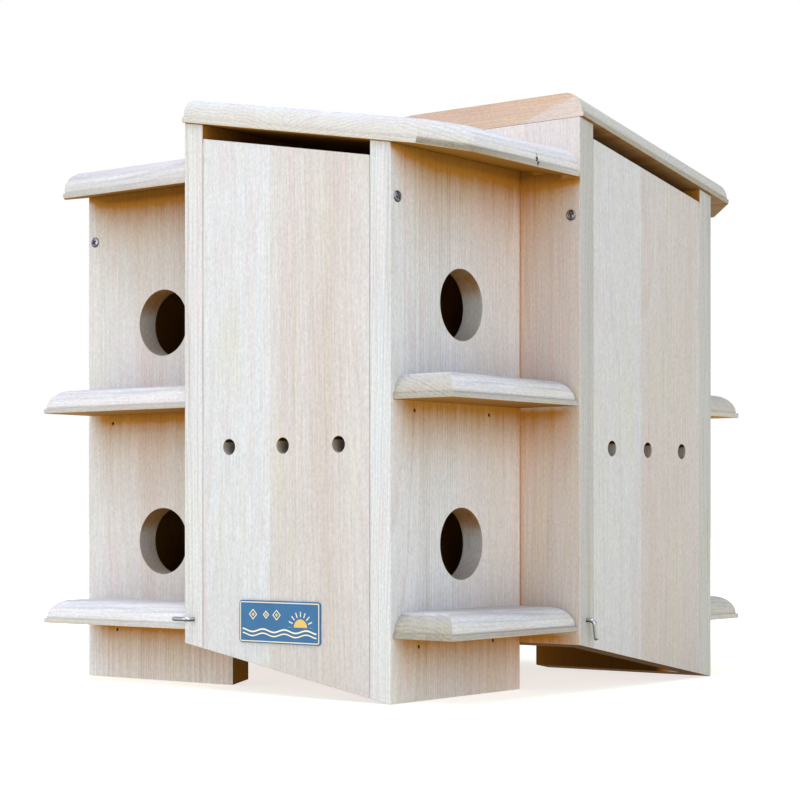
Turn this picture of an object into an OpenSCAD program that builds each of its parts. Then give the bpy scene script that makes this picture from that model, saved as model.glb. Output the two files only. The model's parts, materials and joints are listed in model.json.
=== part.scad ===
/* [Boards] */
// Thickness of every board
board_t = 19; // [17:0.5:21]
// Radius of the eased top edges of roofs and porches
ease_r = 12.7; // [6:0.1:15]
// Width of the ledge between a square lip and the eased edge above it
ease_ledge = 3.4; // [0.5:0.1:6]

/* [Wings] */
// Outside width of a wing, over both of its side walls
wing_w = 203; // [196:1:230]
// Outside width of the square shaft in the middle
core_w = 94; // [88:1:104]
// Distance from the middle of the shaft to the outer end of a wing
wing_reach = 211.5; // [208:0.5:240]
// Height of an entrance wall, over its outer face
wall_h = 404.5; // [390:0.5:440]
// Fall of roofs and floors towards the entrance side, in degrees
roof_fall = 10.2; // [7:0.1:12]

/* [Storeys] */
// Height of the lower floor's underside, carried on to the entrance wall's outer face
lower_floor_z = 27; // [18:0.5:32]
// Height from one floor to the next
storey_h = 172.5; // [165:0.5:180]
// Gap between the back of a closed door and the floors' edges
floor_gap = 1.5; // [1:0.1:4]

/* [Entry holes] */
// Diameter of an entry hole
entry_d = 54; // [45:0.5:60]
// Distance of the entry holes from the wing's outer end
entry_inset = 87.3; // [75:0.1:100]
// Height of the lower hole's middle above its floor's underside
lower_entry_rise = 87.5; // [75:0.1:100]
// Height of the upper hole's middle above its floor's underside
upper_entry_rise = 94.4; // [80:0.1:105]

/* [Porches] */
// Distance of a porch's front behind the outer end of the next wing
porch_setback = 2; // [1:0.5:10]
// Distance of a porch's end from the wing's outer end
porch_inset = 3; // [0:0.5:10]
// Height of a porch's underside above the underside of its floor
porch_rise = 20; // [14:0.5:24]

/* [Roofs] */
// Distance of the eave's lower edge behind the outer end of the next wing
eave_setback = 1; // [0:0.5:10]
// Reach of a roof past the wing's outer end
end_reach = 3; // [0:0.5:10]
// Length cut off the eave's outer corner, along each edge
corner_cut = 30.3; // [10:0.1:34]

/* [Doors] */
// Gap between a door and each side wall
door_gap = 1.6; // [1:0.1:3]
// Height of the air slot between a door and the roof
slot_h = 11; // [8:0.5:18]
// Diameter of a vent hole in a door
vent_d = 12; // [8:0.5:16]
// Distance between vent holes
vent_pitch = 54; // [40:1:60]
// Distance of the middle vent hole from the door's middle, to the entrance side
vent_shift = -1; // [-6:0.5:6]
// Height of the vent holes
vent_z = 188; // [170:0.5:200]
// Depth of a door's pivot behind its front
pivot_inset = 8; // [7:0.1:12]
// Depth of a door's pivot below the top of the entrance wall
pivot_drop = 38.5; // [32:0.5:60]

/* [Pivot screws] */
// Diameter of a pivot screw's shank
screw_d = 4; // [3:0.1:5]
// Diameter of a pivot screw's head
screw_head_d = 9; // [7:0.1:11]
// Height of a pivot screw's head
screw_head_h = 3; // [2:0.1:4]
// Length of a pivot screw that is held in the door's edge
screw_bite = 25; // [15:1:40]
// Radial clearance of a shank in the wood that it turns in
turn_gap = 0.05; // [0.02:0.01:0.1]

/* [Door hooks] */
// Diameter of a hook's wire
wire_d = 3; // [2:0.1:3.4]
// Distance from the wood to the middle of a hook's arm
hook_stand = 7; // [6.9:0.1:9]
// Length of a hook's arm, from its shank's middle to its tip
hook_arm = 16; // [15:0.1:20]
// Length of a hook's shank in the wood
hook_bite = 20; // [12:1:30]
// Radius of a hook's bend, at the middle of the wire
hook_bend = 3.5; // [2.5:0.1:4.5]
// Height of the hooks above the lowest edges
hook_z = 55.5; // [45:0.5:80]
// Lean of the second hook from hanging straight down, to the door's side, in degrees
hook_2_lean = 11; // [0:1:30]

/* [Name plate] */
// Width of the plate on the first door
plate_w = 80; // [60:1:100]
// Height of the plate
plate_h = 32; // [24:1:38]
// Thickness of the plate
plate_t = 1.3; // [0.8:0.1:2]
// Corner radius of the plate
plate_r = 2.5; // [1:0.1:6]
// Height of the plate's middle above the lowest edges
plate_z = 55.7; // [45:0.1:80]
// Distance of the plate's middle from the door's middle, to the entrance side
plate_shift = -3.2; // [-20:0.1:20]

/* [Shaft top] */
// Thickness of the block that a pole's top bears on
seat_t = 19; // [12:0.5:30]
// Gap between that block and the shaft's walls
seat_gap = 0.5; // [0.2:0.1:1.5]

/* [Hidden] */
$fn = 48;
WINGS = [1, 2, 3, 4];
WING_NODES = ["entrance_wall", "plain_wall", "roof", "upper_floor", "lower_floor", "upper_porch",
              "lower_porch", "door", "pivot_screws", "hook"];

// A wing is drawn towards -Y, with its entrance side to +X. "Across" is a place in X,
// and "out" is the distance from the middle of the shaft, towards -Y.
slope = tan(roof_fall);
across_plain = -core_w / 2;              // outer face of the plain wall
across_entrance = wing_w - core_w / 2;   // outer face of the entrance wall
inside_plain = across_plain + board_t;
inside_entrance = across_entrance - board_t;
door_width = inside_entrance - inside_plain - 2 * door_gap;
door_middle = (inside_plain + inside_entrance) / 2;
sloped_t = board_t / cos(roof_fall);     // a sloping board, measured upright
upper_floor_z = lower_floor_z + storey_h;
peak_z = wall_h + rise(across_plain);
porch_front = wing_reach - porch_setback;
eave_reach = wing_reach - eave_setback - across_entrance;
pivot_out = wing_reach - pivot_inset;
pivot_z = wall_h - pivot_drop;
hook_across = across_plain + board_t / 2;
ease_steps = 3;
sheet = 0.01;                            // thickness of the sheets that a hull is drawn over
overcut = 1;
wood = "burlywood";

// Height that a sloping line gains from the entrance wall's outer face to this place
function rise(across) = slope * (across_entrance - across);

module on_wing(k)
    rotate([0, 0, 90 * (k - 1)])
        children();

// Draws an outline of (across, height) along the wing, between two distances out
module along_wing(from, to)
    translate([0, -from, 0])
        rotate([90, 0, 0])
            linear_extrude(to - from)
                children();

// A band of upright ends and sloping top and bottom
module sloped_band(from, to, low, high)
    polygon([[from, low + rise(from)], [to, low + rise(to)],
             [to, high + rise(to)], [from, high + rise(from)]]);

// A rod across the wing, from one place to another
module rod_across(from, to, out, z, d)
    translate([from, -out, z])
        rotate([0, 90, 0])
            cylinder(h = to - from, d = d);

// A board with a square lip and its top edges eased; the outline follows $inset from the edge
module eased_board() {
    lip = board_t - ease_r;
    eased_layer(0, 0, lip)
        children();
    hull() {
        eased_layer(ease_ledge, lip / 2, lip / 2)
            children();
        for (i = [1 : ease_steps]) {
            turn = 90 * i / ease_steps;
            top = board_t - ease_r * (1 - sin(turn));
            eased_layer(ease_ledge + ease_r * (1 - cos(turn)), top - sheet, sheet)
                children();
        }
    }
}

module eased_layer($inset, z, h)
    translate([0, 0, z])
        linear_extrude(h)
            children();

module entrance_wall(k)
    color(wood)
        on_wing(k)
            difference() {
                along_wing(core_w / 2, wing_reach)
                    sloped_band(inside_entrance, across_entrance, 0, wall_h);
                for (z = [lower_floor_z + lower_entry_rise, upper_floor_z + upper_entry_rise])
                    rod_across(inside_entrance - overcut, across_entrance + overcut,
                               wing_reach - entry_inset, z, entry_d);
                rod_across(inside_entrance - overcut, across_entrance + overcut,
                           pivot_out, pivot_z, screw_d + 2 * turn_gap);
            }

module plain_wall(k)
    color(wood)
        on_wing(k)
            difference() {
                along_wing(-core_w / 2 + board_t, wing_reach)
                    sloped_band(across_plain, inside_plain, 0, wall_h);
                rod_across(across_plain - overcut, inside_plain + overcut,
                           pivot_out, pivot_z, screw_d + 2 * turn_gap);
                translate([hook_across, -wing_reach - overcut, hook_z])
                    rotate([-90, 0, 0])
                        cylinder(h = hook_bite + 2 * overcut, d = wire_d + 2 * turn_gap);
            }

module roof_outline() {
    high_x = -wing_w / cos(roof_fall) - board_t * slope;
    eave_x = eave_reach / cos(roof_fall) - $inset;
    end_out = wing_reach + end_reach - $inset;
    cut = corner_cut + $inset * (sqrt(2) - 2);
    polygon([[high_x, -core_w / 2], [high_x, -end_out], [eave_x - cut, -end_out],
             [eave_x, cut - end_out], [eave_x, -core_w / 2]]);
}

// The high side is cut upright, over the plain wall's outer face
module roof(k)
    color(wood)
        on_wing(k)
            difference() {
                translate([across_entrance, 0, wall_h])
                    rotate([0, roof_fall, 0])
                        eased_board()
                            roof_outline();
                translate([across_plain - board_t, -wing_reach - end_reach - overcut, wall_h])
                    cube([board_t, wing_reach + end_reach, peak_z - wall_h + 2 * board_t]);
            }

module floor_board(k, z)
    color(wood)
        on_wing(k)
            along_wing(core_w / 2, wing_reach - board_t - floor_gap)
                sloped_band(inside_plain, inside_entrance, z, z + sloped_t);

module porch_outline() {
    end_out = wing_reach - porch_inset - $inset;
    wall_out = core_w / 2 + $inset;
    front = porch_front - $inset;
    polygon([[across_entrance, -wall_out], [across_entrance, -end_out],
             [front, -end_out], [front, -wall_out]]);
}

module porch(k, z)
    color(wood)
        on_wing(k)
            translate([0, 0, z])
                eased_board()
                    porch_outline();

module door(k)
    color(wood)
        on_wing(k)
            difference() {
                along_wing(wing_reach - board_t, wing_reach)
                    sloped_band(inside_plain + door_gap, inside_entrance - door_gap, 0, wall_h - slot_h);
                for (i = [-1 : 1])
                    translate([door_middle + vent_shift + i * vent_pitch, -wing_reach - overcut, vent_z])
                        rotate([-90, 0, 0])
                            cylinder(h = board_t + 2 * overcut, d = vent_d);
                for (from = [inside_plain, inside_entrance - door_gap - screw_bite])
                    rod_across(from, from + door_gap + screw_bite, pivot_out, pivot_z, screw_d);
            }

// One pivot screw, with its head's underside at z = 0 and its shank along -Z
module pivot_screw() {
    translate([0, 0, -board_t - door_gap - screw_bite])
        cylinder(h = board_t + door_gap + screw_bite, d = screw_d);
    cylinder(h = screw_head_h, d1 = screw_head_d, d2 = screw_head_d * 2 / 3);
}

module pivot_screws(k)
    color("silver")
        on_wing(k) {
            translate([across_entrance, -pivot_out, pivot_z])
                rotate([0, 90, 0])
                    pivot_screw();
            translate([across_plain, -pivot_out, pivot_z])
                rotate([0, -90, 0])
                    pivot_screw();
        }

// A square hook whose shank runs along Z and whose arm points to +X
module bent_hook() {
    translate([0, 0, -hook_bite])
        cylinder(h = hook_bite + hook_stand - hook_bend, d = wire_d);
    translate([hook_bend, 0, hook_stand - hook_bend])
        rotate([90, 0, 0])
            rotate([0, 0, 90])
                rotate_extrude(angle = 90)
                    translate([hook_bend, 0])
                        circle(d = wire_d);
    translate([hook_bend, 0, hook_stand])
        rotate([0, 90, 0])
            cylinder(h = hook_arm - hook_bend, d = wire_d);
}

// The first hook is stored pointing away from its door, and the others hang down
module hook(k) {
    turn = k == 1 ? 180 : k == 2 ? hook_2_lean - 90 : -90;
    color("silver")
        on_wing(k)
            translate([hook_across, -wing_reach, hook_z])
                rotate([90, 0, 0])
                    rotate([0, 0, turn])
                        bent_hook();
}

module shaft_cap()
    color(wood)
        translate([-core_w / 2, -core_w / 2, peak_z])
            cube([core_w, core_w, board_t]);

module pole_seat() {
    side = core_w - 2 * board_t - 2 * seat_gap;
    color(wood)
        translate([-side / 2, -side / 2, peak_z - seat_t])
            cube([side, side, seat_t]);
}

module name_plate()
    color("steelblue")
        translate([door_middle + plate_shift, -wing_reach, plate_z])
            rotate([90, 0, 0])
                linear_extrude(plate_t)
                    hull()
                        for (x = [-1, 1], y = [-1, 1])
                            translate([x * (plate_w / 2 - plate_r), y * (plate_h / 2 - plate_r)])
                                circle(r = plate_r);

for (k = WINGS) {
    entrance_wall(k);
    plain_wall(k);
    roof(k);
    floor_board(k, upper_floor_z);
    floor_board(k, lower_floor_z);
    porch(k, upper_floor_z + porch_rise);
    porch(k, lower_floor_z + porch_rise);
    door(k);
    pivot_screws(k);
    hook(k);
}
shaft_cap();
pole_seat();
name_plate();
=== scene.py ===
"""Purple martin house of bare pine boards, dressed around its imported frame.

Four wings stand round a square pole shaft, each a quarter turn on from the last. A wing is
worked out in its own axes, in metres: x is "across", with the entrance side at +x, -y is
"out", away from the shaft, and z is up. Wing 1 keeps those axes and the others are turned.
"""

from __future__ import annotations

import json
import logging
import math
from dataclasses import dataclass, field
from enum import Enum
from functools import partial
from typing import Callable

import bmesh
import bpy
import numpy as np
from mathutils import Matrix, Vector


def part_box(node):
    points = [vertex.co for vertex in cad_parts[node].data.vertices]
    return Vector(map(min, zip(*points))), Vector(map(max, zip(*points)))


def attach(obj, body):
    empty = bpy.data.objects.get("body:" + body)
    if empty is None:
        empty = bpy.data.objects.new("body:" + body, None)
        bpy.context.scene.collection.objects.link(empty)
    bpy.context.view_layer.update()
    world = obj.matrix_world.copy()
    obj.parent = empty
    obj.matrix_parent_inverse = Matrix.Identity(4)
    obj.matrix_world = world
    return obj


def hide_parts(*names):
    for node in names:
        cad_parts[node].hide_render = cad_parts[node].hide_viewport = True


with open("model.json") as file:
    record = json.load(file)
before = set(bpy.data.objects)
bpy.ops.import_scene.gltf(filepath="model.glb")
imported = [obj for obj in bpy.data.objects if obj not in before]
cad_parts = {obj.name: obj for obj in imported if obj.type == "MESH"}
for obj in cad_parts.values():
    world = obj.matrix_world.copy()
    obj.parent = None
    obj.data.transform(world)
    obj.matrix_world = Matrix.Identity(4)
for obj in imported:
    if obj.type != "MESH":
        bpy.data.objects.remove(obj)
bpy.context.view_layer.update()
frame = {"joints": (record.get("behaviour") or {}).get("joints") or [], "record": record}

LOG = logging.getLogger("martin_house")
MM = 0.001
WINGS = (1, 2, 3, 4)
HOUSE = "house"


class Grain(Enum):
    """Which way a board's fibres run, and so which of its sides carry end grain."""

    UPRIGHT = "fibres run up the board"
    OUTWARD = "fibres run out along the wing"


# ---------------------------------------------------------------- colours and nodes


def linear_rgba(hex_colour: str) -> tuple[float, float, float, float]:
    """Turns an sRGB hex colour into linear RGBA.

    Args:
        hex_colour: colour such as "#d9c7ae".

    Returns:
        The linear red, green, blue and an alpha of 1.
    """
    parts = [int(hex_colour[i : i + 2], 16) / 255 for i in (1, 3, 5)]
    lin = [p / 12.92 if p <= 0.04045 else ((p + 0.055) / 1.055) ** 2.4 for p in parts]
    return (lin[0], lin[1], lin[2], 1.0)


@dataclass(frozen=True)
class NodeKind:
    """A type of shader node: the inputs that values go to in order, its output and its settings.

    An output of None stands for all of them.
    """

    type: str
    inputs: tuple[int | str, ...] = (0, 1, 2)
    output: int | str | None = 0
    settings: dict[str, str] = field(default_factory=dict)


NODE_KINDS = {
    **{name: NodeKind("ShaderNodeMath", settings={"operation": name})
       for name in ("ADD", "SUBTRACT", "MULTIPLY", "MULTIPLY_ADD", "DIVIDE", "SQRT", "FLOOR", "FRACT",
                    "MAXIMUM")},
    "ADD_VECTORS": NodeKind("ShaderNodeVectorMath", settings={"operation": "ADD"}),
    "STRETCH": NodeKind("ShaderNodeVectorMath", settings={"operation": "MULTIPLY"}),
    "LENGTH": NodeKind("ShaderNodeVectorMath", output="Value", settings={"operation": "LENGTH"}),
    "NUMBER": NodeKind("ShaderNodeAttribute", output="Fac"),
    "VECTOR": NodeKind("ShaderNodeAttribute", output="Vector"),
    "PARTS": NodeKind("ShaderNodeSeparateXYZ", output=None),
    "JOIN": NodeKind("ShaderNodeCombineXYZ"),
    "CHANNELS": NodeKind("ShaderNodeSeparateColor", output=None),
    "GREY": NodeKind("ShaderNodeCombineColor"),
    "PLACE": NodeKind("ShaderNodeTexCoord", output="Object"),
    "FACING": NodeKind("ShaderNodeTexCoord", output="Normal"),
    "RAY": NodeKind("ShaderNodeTexCoord", output="Generated"),
    "TO_CAMERA": NodeKind("ShaderNodeLightPath", output="Is Camera Ray"),
    "NOISE": NodeKind("ShaderNodeTexNoise", ("Vector", "Scale", "Detail", "Roughness"), "Fac"),
    "LUCK": NodeKind("ShaderNodeTexWhiteNoise", ("W",), "Value", {"noise_dimensions": "1D"}),
    "LUCKS": NodeKind("ShaderNodeTexWhiteNoise", ("Vector",), "Color", {"noise_dimensions": "2D"}),
    "CLAMP": NodeKind("ShaderNodeClamp"),
    "LINE": NodeKind("ShaderNodeMapRange", (0, 1, 2, 3, 4)),
    "RAMP": NodeKind("ShaderNodeMapRange", (0, 1, 2, 3, 4), settings={"interpolation_type": "SMOOTHSTEP"}),
    "BLEND": NodeKind("ShaderNodeMix", (0, 2, 3)),
    "PAINT": NodeKind("ShaderNodeMix", (0, 6, 7), 2, {"data_type": "RGBA"}),
    "TINT": NodeKind("ShaderNodeMix", (0, 6, 7), 2, {"data_type": "RGBA", "blend_type": "MULTIPLY"}),
    "BUMP": NodeKind("ShaderNodeBump"),
    "PRINCIPLED": NodeKind("ShaderNodeBsdfPrincipled"),
    "MATTE": NodeKind("ShaderNodeBsdfDiffuse"),
    "GLOW": NodeKind("ShaderNodeEmission"),
    "SKY": NodeKind("ShaderNodeBackground"),
    "BOTH": NodeKind("ShaderNodeAddShader"),
    "EITHER": NodeKind("ShaderNodeMixShader"),
    "SURFACE": NodeKind("ShaderNodeOutputMaterial", output=None),
    "WORLD": NodeKind("ShaderNodeOutputWorld", output=None),
}


def add_node(tree: bpy.types.NodeTree, kind: str, *values, **named) -> bpy.types.NodeSocket:
    """Adds one shader node, with its settings, values and links.

    Args:
        tree: node tree of the material or world.
        kind: the node's name in NODE_KINDS.
        values: for the kind's inputs in order, each a number, a tuple, or an output socket of
            another node to link from.
        named: the same for inputs by name, with _ for each space, and settings of the node
            itself, such as the name of the attribute that it reads.

    Returns:
        The kind's output socket, or all of the node's outputs.
    """
    made = NODE_KINDS[kind]
    node = tree.nodes.new(made.type)
    for name, setting in made.settings.items():
        setattr(node, name, setting)
    sockets = [(node.inputs[place], value) for place, value in zip(made.inputs, values)]
    for name, value in named.items():
        if hasattr(node, name):
            setattr(node, name, value)
        else:
            sockets.append((node.inputs[name.replace("_", " ")], value))
    for socket, value in sockets:
        if isinstance(value, bpy.types.NodeSocket):
            tree.links.new(value, socket)
        else:
            socket.default_value = value
    return node.outputs if made.output is None else node.outputs[made.output]


def repeats(size_mm: float) -> float:
    """How often a pattern of this size repeats in a metre."""
    return 1 / (size_mm * MM)


def emptied(owner: bpy.types.Material | bpy.types.World) -> Callable[..., bpy.types.NodeSocket]:
    """Empties a material's or world's nodes, and returns add_node for its tree.

    Args:
        owner: the material or world.

    Returns:
        The function add_node, less its first argument.
    """
    owner.use_nodes = True
    owner.node_tree.nodes.clear()
    return partial(add_node, owner.node_tree)


# ---------------------------------------------------------------- finishes


@dataclass(frozen=True)
class PineFinish:
    """Planed, edge-glued pine with no coat, part weathered: pale grey-white to pinkish tan.

    The growth rings are cylinders about a pith line that lies behind the board, so a face
    shows stripes or arches and an end shows curved bands. Each glued stave has its own pith
    and tone. Bare pine bleaches where light reaches it and stays amber where it is sheltered.
    Here the bleach is in part painted light and the amber in part painted shade; more painted
    shade darkens the wood under eaves and porches, in corners and inside, the olive grey is
    painted shade and green bounce light, and a board's brightness is painted light.
    The sizes of rings and fibres are those of the wood, drawn coarse enough to show, and each
    of the other sizes is a metre over the number of times that its pattern repeats in it.
    """

    bleached: str = "#d9dbdd"
    tan: str = "#d2c7bf"
    late: str = "#b3937a"
    silver: str = "#a19e9b"
    # The amber of wood kept from the sun, which also serves as painted shade.
    amber: str = "#d6973a"
    fresh: str = "#fbdfc4"
    # Olive grey: painted shade and green bounce light on lips, undersides and in holes, and a greying of some
    # edges.
    damp: str = "#948b6c"
    pink: str = "#ddc9c8"
    straw: str = "#d6d4bb"
    end_tint: str = "#efece1"
    end_line: str = "#8a7f78"
    knot: str = "#2a1c14"
    ring_mm: float = 2.8
    fibre_mm: float = 0.5
    streak_mm: float = 1000 / 190
    speckle_mm: float = 1000 / 700
    hue_mm: float = 1000 / 60
    wander_mm: float = 1000 / 22
    figure_mm: float = 1000 / 17
    blotch_mm: float = 1000 / 9
    roughness: float = 0.62

    def build(self) -> bpy.types.Material:
        """Makes the material, which reads the values that Wing.dress gives a board.

        Returns:
            The pine material.
        """
        material = bpy.data.materials.new("planed_pine")
        add = emptied(material)
        grain = add("VECTOR", attribute_name="grain")
        axes = add("PARTS", grain)
        marks, tones, pith = (add("PARTS", add("VECTOR", attribute_name=name))
                              for name in ("board", "tones", "pith"))
        # The amber and shade, sun, grey and shade, and third tone values carry painted light and shade.
        shelter, ends, sun, bare, greyed = (add("NUMBER", attribute_name=name)
                                         for name in ("shelter", "end", "sun", "fresh", "damp"))
        knot = add("LENGTH", add("VECTOR", attribute_name="knot"))

        # Stave 0, 1 or 2, its own tone, and its own numbers between 0 and 1.
        stave = add("FLOOR", marks[0])
        within = add("SUBTRACT", add("SUBTRACT", marks[0], stave), 0.5)
        tone = add("BLEND", add("RAMP", stave, 0.4, 0.6), tones[0], tones[1])
        # Sun turns the tone to bleached: bleaching, and in part painted light.
        tone = add("MULTIPLY", tone, add("SUBTRACT", 1.0, sun))
        lucks = add("CHANNELS", add("LUCKS", add("JOIN", stave, marks[1])))
        apart = add("JOIN", add("MULTIPLY", lucks[2], 7.0), add("MULTIPLY", marks[1], 3.1), stave)

        # Distance from the pith line, with a slow wander along the fibres and a taper.
        aside = add("MULTIPLY", add("SUBTRACT", lucks[0], 0.5), pith[0])
        across = add("ADD", add("MULTIPLY", within, marks[2]), aside)
        depth = add("ADD", axes[1], add("MULTIPLY_ADD", lucks[1], 0.05, pith[1]))
        slow = add("ADD_VECTORS", add("STRETCH", grain, (1.0, 1.0, 0.12)), apart)
        wander = add("MULTIPLY", add("SUBTRACT", add("NOISE", slow, repeats(self.wander_mm)), 0.5), 0.016)
        taper = add("MULTIPLY", axes[2], add("MULTIPLY", add("SUBTRACT", lucks[2], 0.5), 0.05))
        radius = add("SQRT", add("ADD", add("MULTIPLY", across, across), add("MULTIPLY", depth, depth)))
        turns = add("DIVIDE", add("ADD", add("ADD", radius, wander), taper), self.ring_mm * MM)
        phase = add("FRACT", turns)
        late = add("MULTIPLY", add("RAMP", phase, 0.3, 0.86), add("RAMP", phase, 0.99, 0.88))
        late = add("MULTIPLY", late, add("MULTIPLY_ADD", add("LUCK", add("FLOOR", turns)), 0.7, 0.3))

        # Fibres: noise drawn out along the board, and a speckle that is not.
        drawn = add("ADD_VECTORS", add("STRETCH", grain, (1.0, 1.0, 0.02)), apart)
        fibre = add("NOISE", drawn, repeats(2 * self.fibre_mm), 3.0, 0.65)
        streak = add("NOISE", drawn, repeats(self.streak_mm), 4.0, 0.65)
        speckle = add("NOISE", add("STRETCH", grain, (1.0, 1.0, 0.45)), repeats(self.speckle_mm), 3.0, 0.7)
        blotch = add("NOISE", slow, repeats(self.blotch_mm), 2.0, 0.5)

        # Bleached or tan, with a drift of pink and straw and the darker late wood.
        uneven = add("CLAMP", add("ADD", tone, add("RAMP", blotch, 0.3, 0.7, -0.18, 0.18)))
        colour = add("PAINT", uneven, linear_rgba(self.bleached), linear_rgba(self.tan))
        hue = add("NOISE", add("ADD_VECTORS", slow, (3.0, 5.0, 7.0)), repeats(self.hue_mm), 3.0, 0.6)
        colour = add("PAINT", add("RAMP", hue, 0.5, 0.72, 0.0, 0.45), colour, linear_rgba(self.pink))
        colour = add("PAINT", add("RAMP", hue, 0.5, 0.28, 0.0, 0.45), colour, linear_rgba(self.straw))
        figure = add("ADD", add("MULTIPLY", late, 0.24), add("RAMP", streak, 0.42, 0.75, 0.0, 0.2))
        cloud = add("NOISE", slow, repeats(self.figure_mm))
        figure = add("ADD", figure, add("RAMP", cloud, 0.5, 0.78, 0.0, 0.3))
        figure = add("MULTIPLY", figure, add("MULTIPLY_ADD", uneven, 0.6, 0.4))
        colour = add("PAINT", figure, colour, linear_rgba(self.late))

        # Silver streaks where the sun reaches, and the bands of a sawn end.
        silver = add("ADD", add("MULTIPLY", late, 0.4), add("RAMP", streak, 0.5, 0.72, 0.0, 0.35))
        silver = add("MULTIPLY", silver, add("MULTIPLY", sun, add("SUBTRACT", 1.0, ends)))
        colour = add("PAINT", silver, colour, linear_rgba(self.silver))
        bands = add("MULTIPLY", late, add("MULTIPLY_ADD", streak, 0.5, 0.0))
        sawn = add("TINT", 1.0, colour, linear_rgba(self.end_tint))
        colour = add("PAINT", ends, colour, add("PAINT", bands, sawn, linear_rgba(self.end_line)))

        # Sheltered wood goes amber, partly its own colour and partly painted shade; a new cut is paler;
        # the olive grey is painted shade and green bounce light, and greys some edges. All are patchy.
        kept = add("CLAMP", add("MULTIPLY", shelter, add("MULTIPLY_ADD", streak, 0.8, 0.6)))
        cut = add("MULTIPLY", bare, add("RAMP", pith[2], -0.08, 0.08, 0.55, 1.0))
        greying = add("CLAMP", add("MULTIPLY", greyed, add("MULTIPLY_ADD", streak, 0.6, 0.7)))
        for share, tint in ((kept, self.amber), (cut, self.fresh), (greying, self.damp)):
            colour = add("PAINT", share, colour, add("TINT", 1.0, colour, linear_rgba(tint)))
        split = add("ADD", knot, add("MULTIPLY", add("SUBTRACT", speckle, 0.5), 1.6))
        colour = add("PAINT", add("RAMP", split, 1.1, 0.6), colour, linear_rgba(self.knot))

        # Brightness, which is the board's painted light and painted shade that darkens where the amber
        # value passes 1, a fine relief, and less gloss in the painted shade.
        light = add("MULTIPLY", add("RAMP", fibre, 0.3, 0.7, 0.9, 1.07),
                    add("RAMP", speckle, 0.3, 0.7, 0.9, 1.08))
        light = add("MULTIPLY", light, add("MULTIPLY", tones[2], add("RAMP", shelter, 1.0, 2.0, 1.0, 0.12)))
        height = add("ADD", add("MULTIPLY", fibre, 0.5), add("MULTIPLY", late, 0.3))
        height = add("ADD", height, add("MULTIPLY", speckle, 0.3))
        add("SURFACE", add("PRINCIPLED", IOR=1.5,
                           Base_Color=add("TINT", 1.0, colour, add("GREY", light, light, light)),
                           Roughness=add("RAMP", fibre, 0.2, 0.8, self.roughness - 0.06,
                                         self.roughness + 0.08),
                           Normal=add("BUMP", Strength=0.3, Distance=0.15 * MM, Height=height),
                           Specular_IOR_Level=add("RAMP", shelter, 0.6, 1.6, 0.3, 0.03)))
        return material


@dataclass(frozen=True)
class ZincFinish:
    """Zinc-plated steel: a shiny pale grey metal, slightly mottled, with painted shade on what faces down."""

    name: str = "zinc_plated_steel"
    colour: str = "#d6d8dc"
    # The dark of the specks and of the painted shade on what faces down.
    dull: str = "#2c2d30"
    roughness: float = 0.24
    mottle_mm: float = 0.6
    # How much painted shade darkens what faces down.
    grimed: float = 0.9

    def build(self) -> bpy.types.Material:
        """Makes the material, mottled by place, with painted shade on what faces down.

        Returns:
            The zinc material.
        """
        material = bpy.data.materials.new(self.name)
        add = emptied(material)
        mottle = add("NOISE", add("PLACE"), repeats(2 * self.mottle_mm), 3.0)
        # Painted shade on faces that look down.
        below = add("LINE", add("PARTS", add("FACING"))["Z"], 0.1, -0.35, 0.0, self.grimed)
        speck = add("LINE", mottle, 0.42, 0.7, 0.0, 0.55)
        colour = add("PAINT", add("MAXIMUM", below, speck), linear_rgba(self.colour), linear_rgba(self.dull))
        rough = add("LINE", mottle, 0.0, 1.0, self.roughness - 0.08, self.roughness + 0.12)
        add("SURFACE", add("PRINCIPLED", Base_Color=colour, Roughness=rough, Metallic=1.0))
        return material


@dataclass(frozen=True)
class EnamelFinish:
    """Gloss enamel fired on sheet metal: a blue ground with cream line work under one gloss."""

    ground: str = "#00669a"
    deep: str = "#004e80"
    cream: str = "#efe3c2"
    gold: str = "#d9b45c"
    cloud_mm: float = 1000 / 70

    def build(self) -> bpy.types.Material:
        """Makes the material; it reads the plate's "ink" attribute for cream and gold.

        Returns:
            The enamel material.
        """
        material = bpy.data.materials.new("gloss_enamel")
        add = emptied(material)
        cloud = add("NOISE", add("PLACE"), repeats(self.cloud_mm), 2.0)
        inks = add("PARTS", add("VECTOR", attribute_name="ink"))
        colour = linear_rgba(self.ground)
        for share, other in ((cloud, self.deep), (inks[0], self.cream), (inks[1], self.gold)):
            colour = add("PAINT", share, colour, linear_rgba(other))
        add("SURFACE", add("PRINCIPLED", Base_Color=colour, Roughness=0.18, IOR=1.5, Coat_Weight=0.4,
                           Coat_Roughness=0.05))
        return material


@dataclass
class Finishes:
    """The materials that the pieces share, made once."""

    pine: bpy.types.Material = field(default_factory=lambda: PineFinish().build())
    zinc: bpy.types.Material = field(default_factory=lambda: ZincFinish().build())
    # Each zinc's third value is the dark of its specks and of its painted shade, and the last is how much
    # shade is painted on what faces down.
    screw: bpy.types.Material = field(default_factory=lambda: ZincFinish(
        "zinc_plated_screw", "#c0bfc9", "#1c181c", 0.22, 0.5, 0.9).build())
    nail: bpy.types.Material = field(default_factory=lambda: ZincFinish(
        "dull_steel_nail", "#4d4030", "#1e1812", 0.65, 0.6, 0.0).build())
    enamel: bpy.types.Material = field(default_factory=lambda: EnamelFinish().build())


# ---------------------------------------------------------------- surfaces


CornerRule = Callable[[np.ndarray, np.ndarray], dict[str, np.ndarray]]
FaceRule = Callable[[np.ndarray, np.ndarray], np.ndarray]


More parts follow.
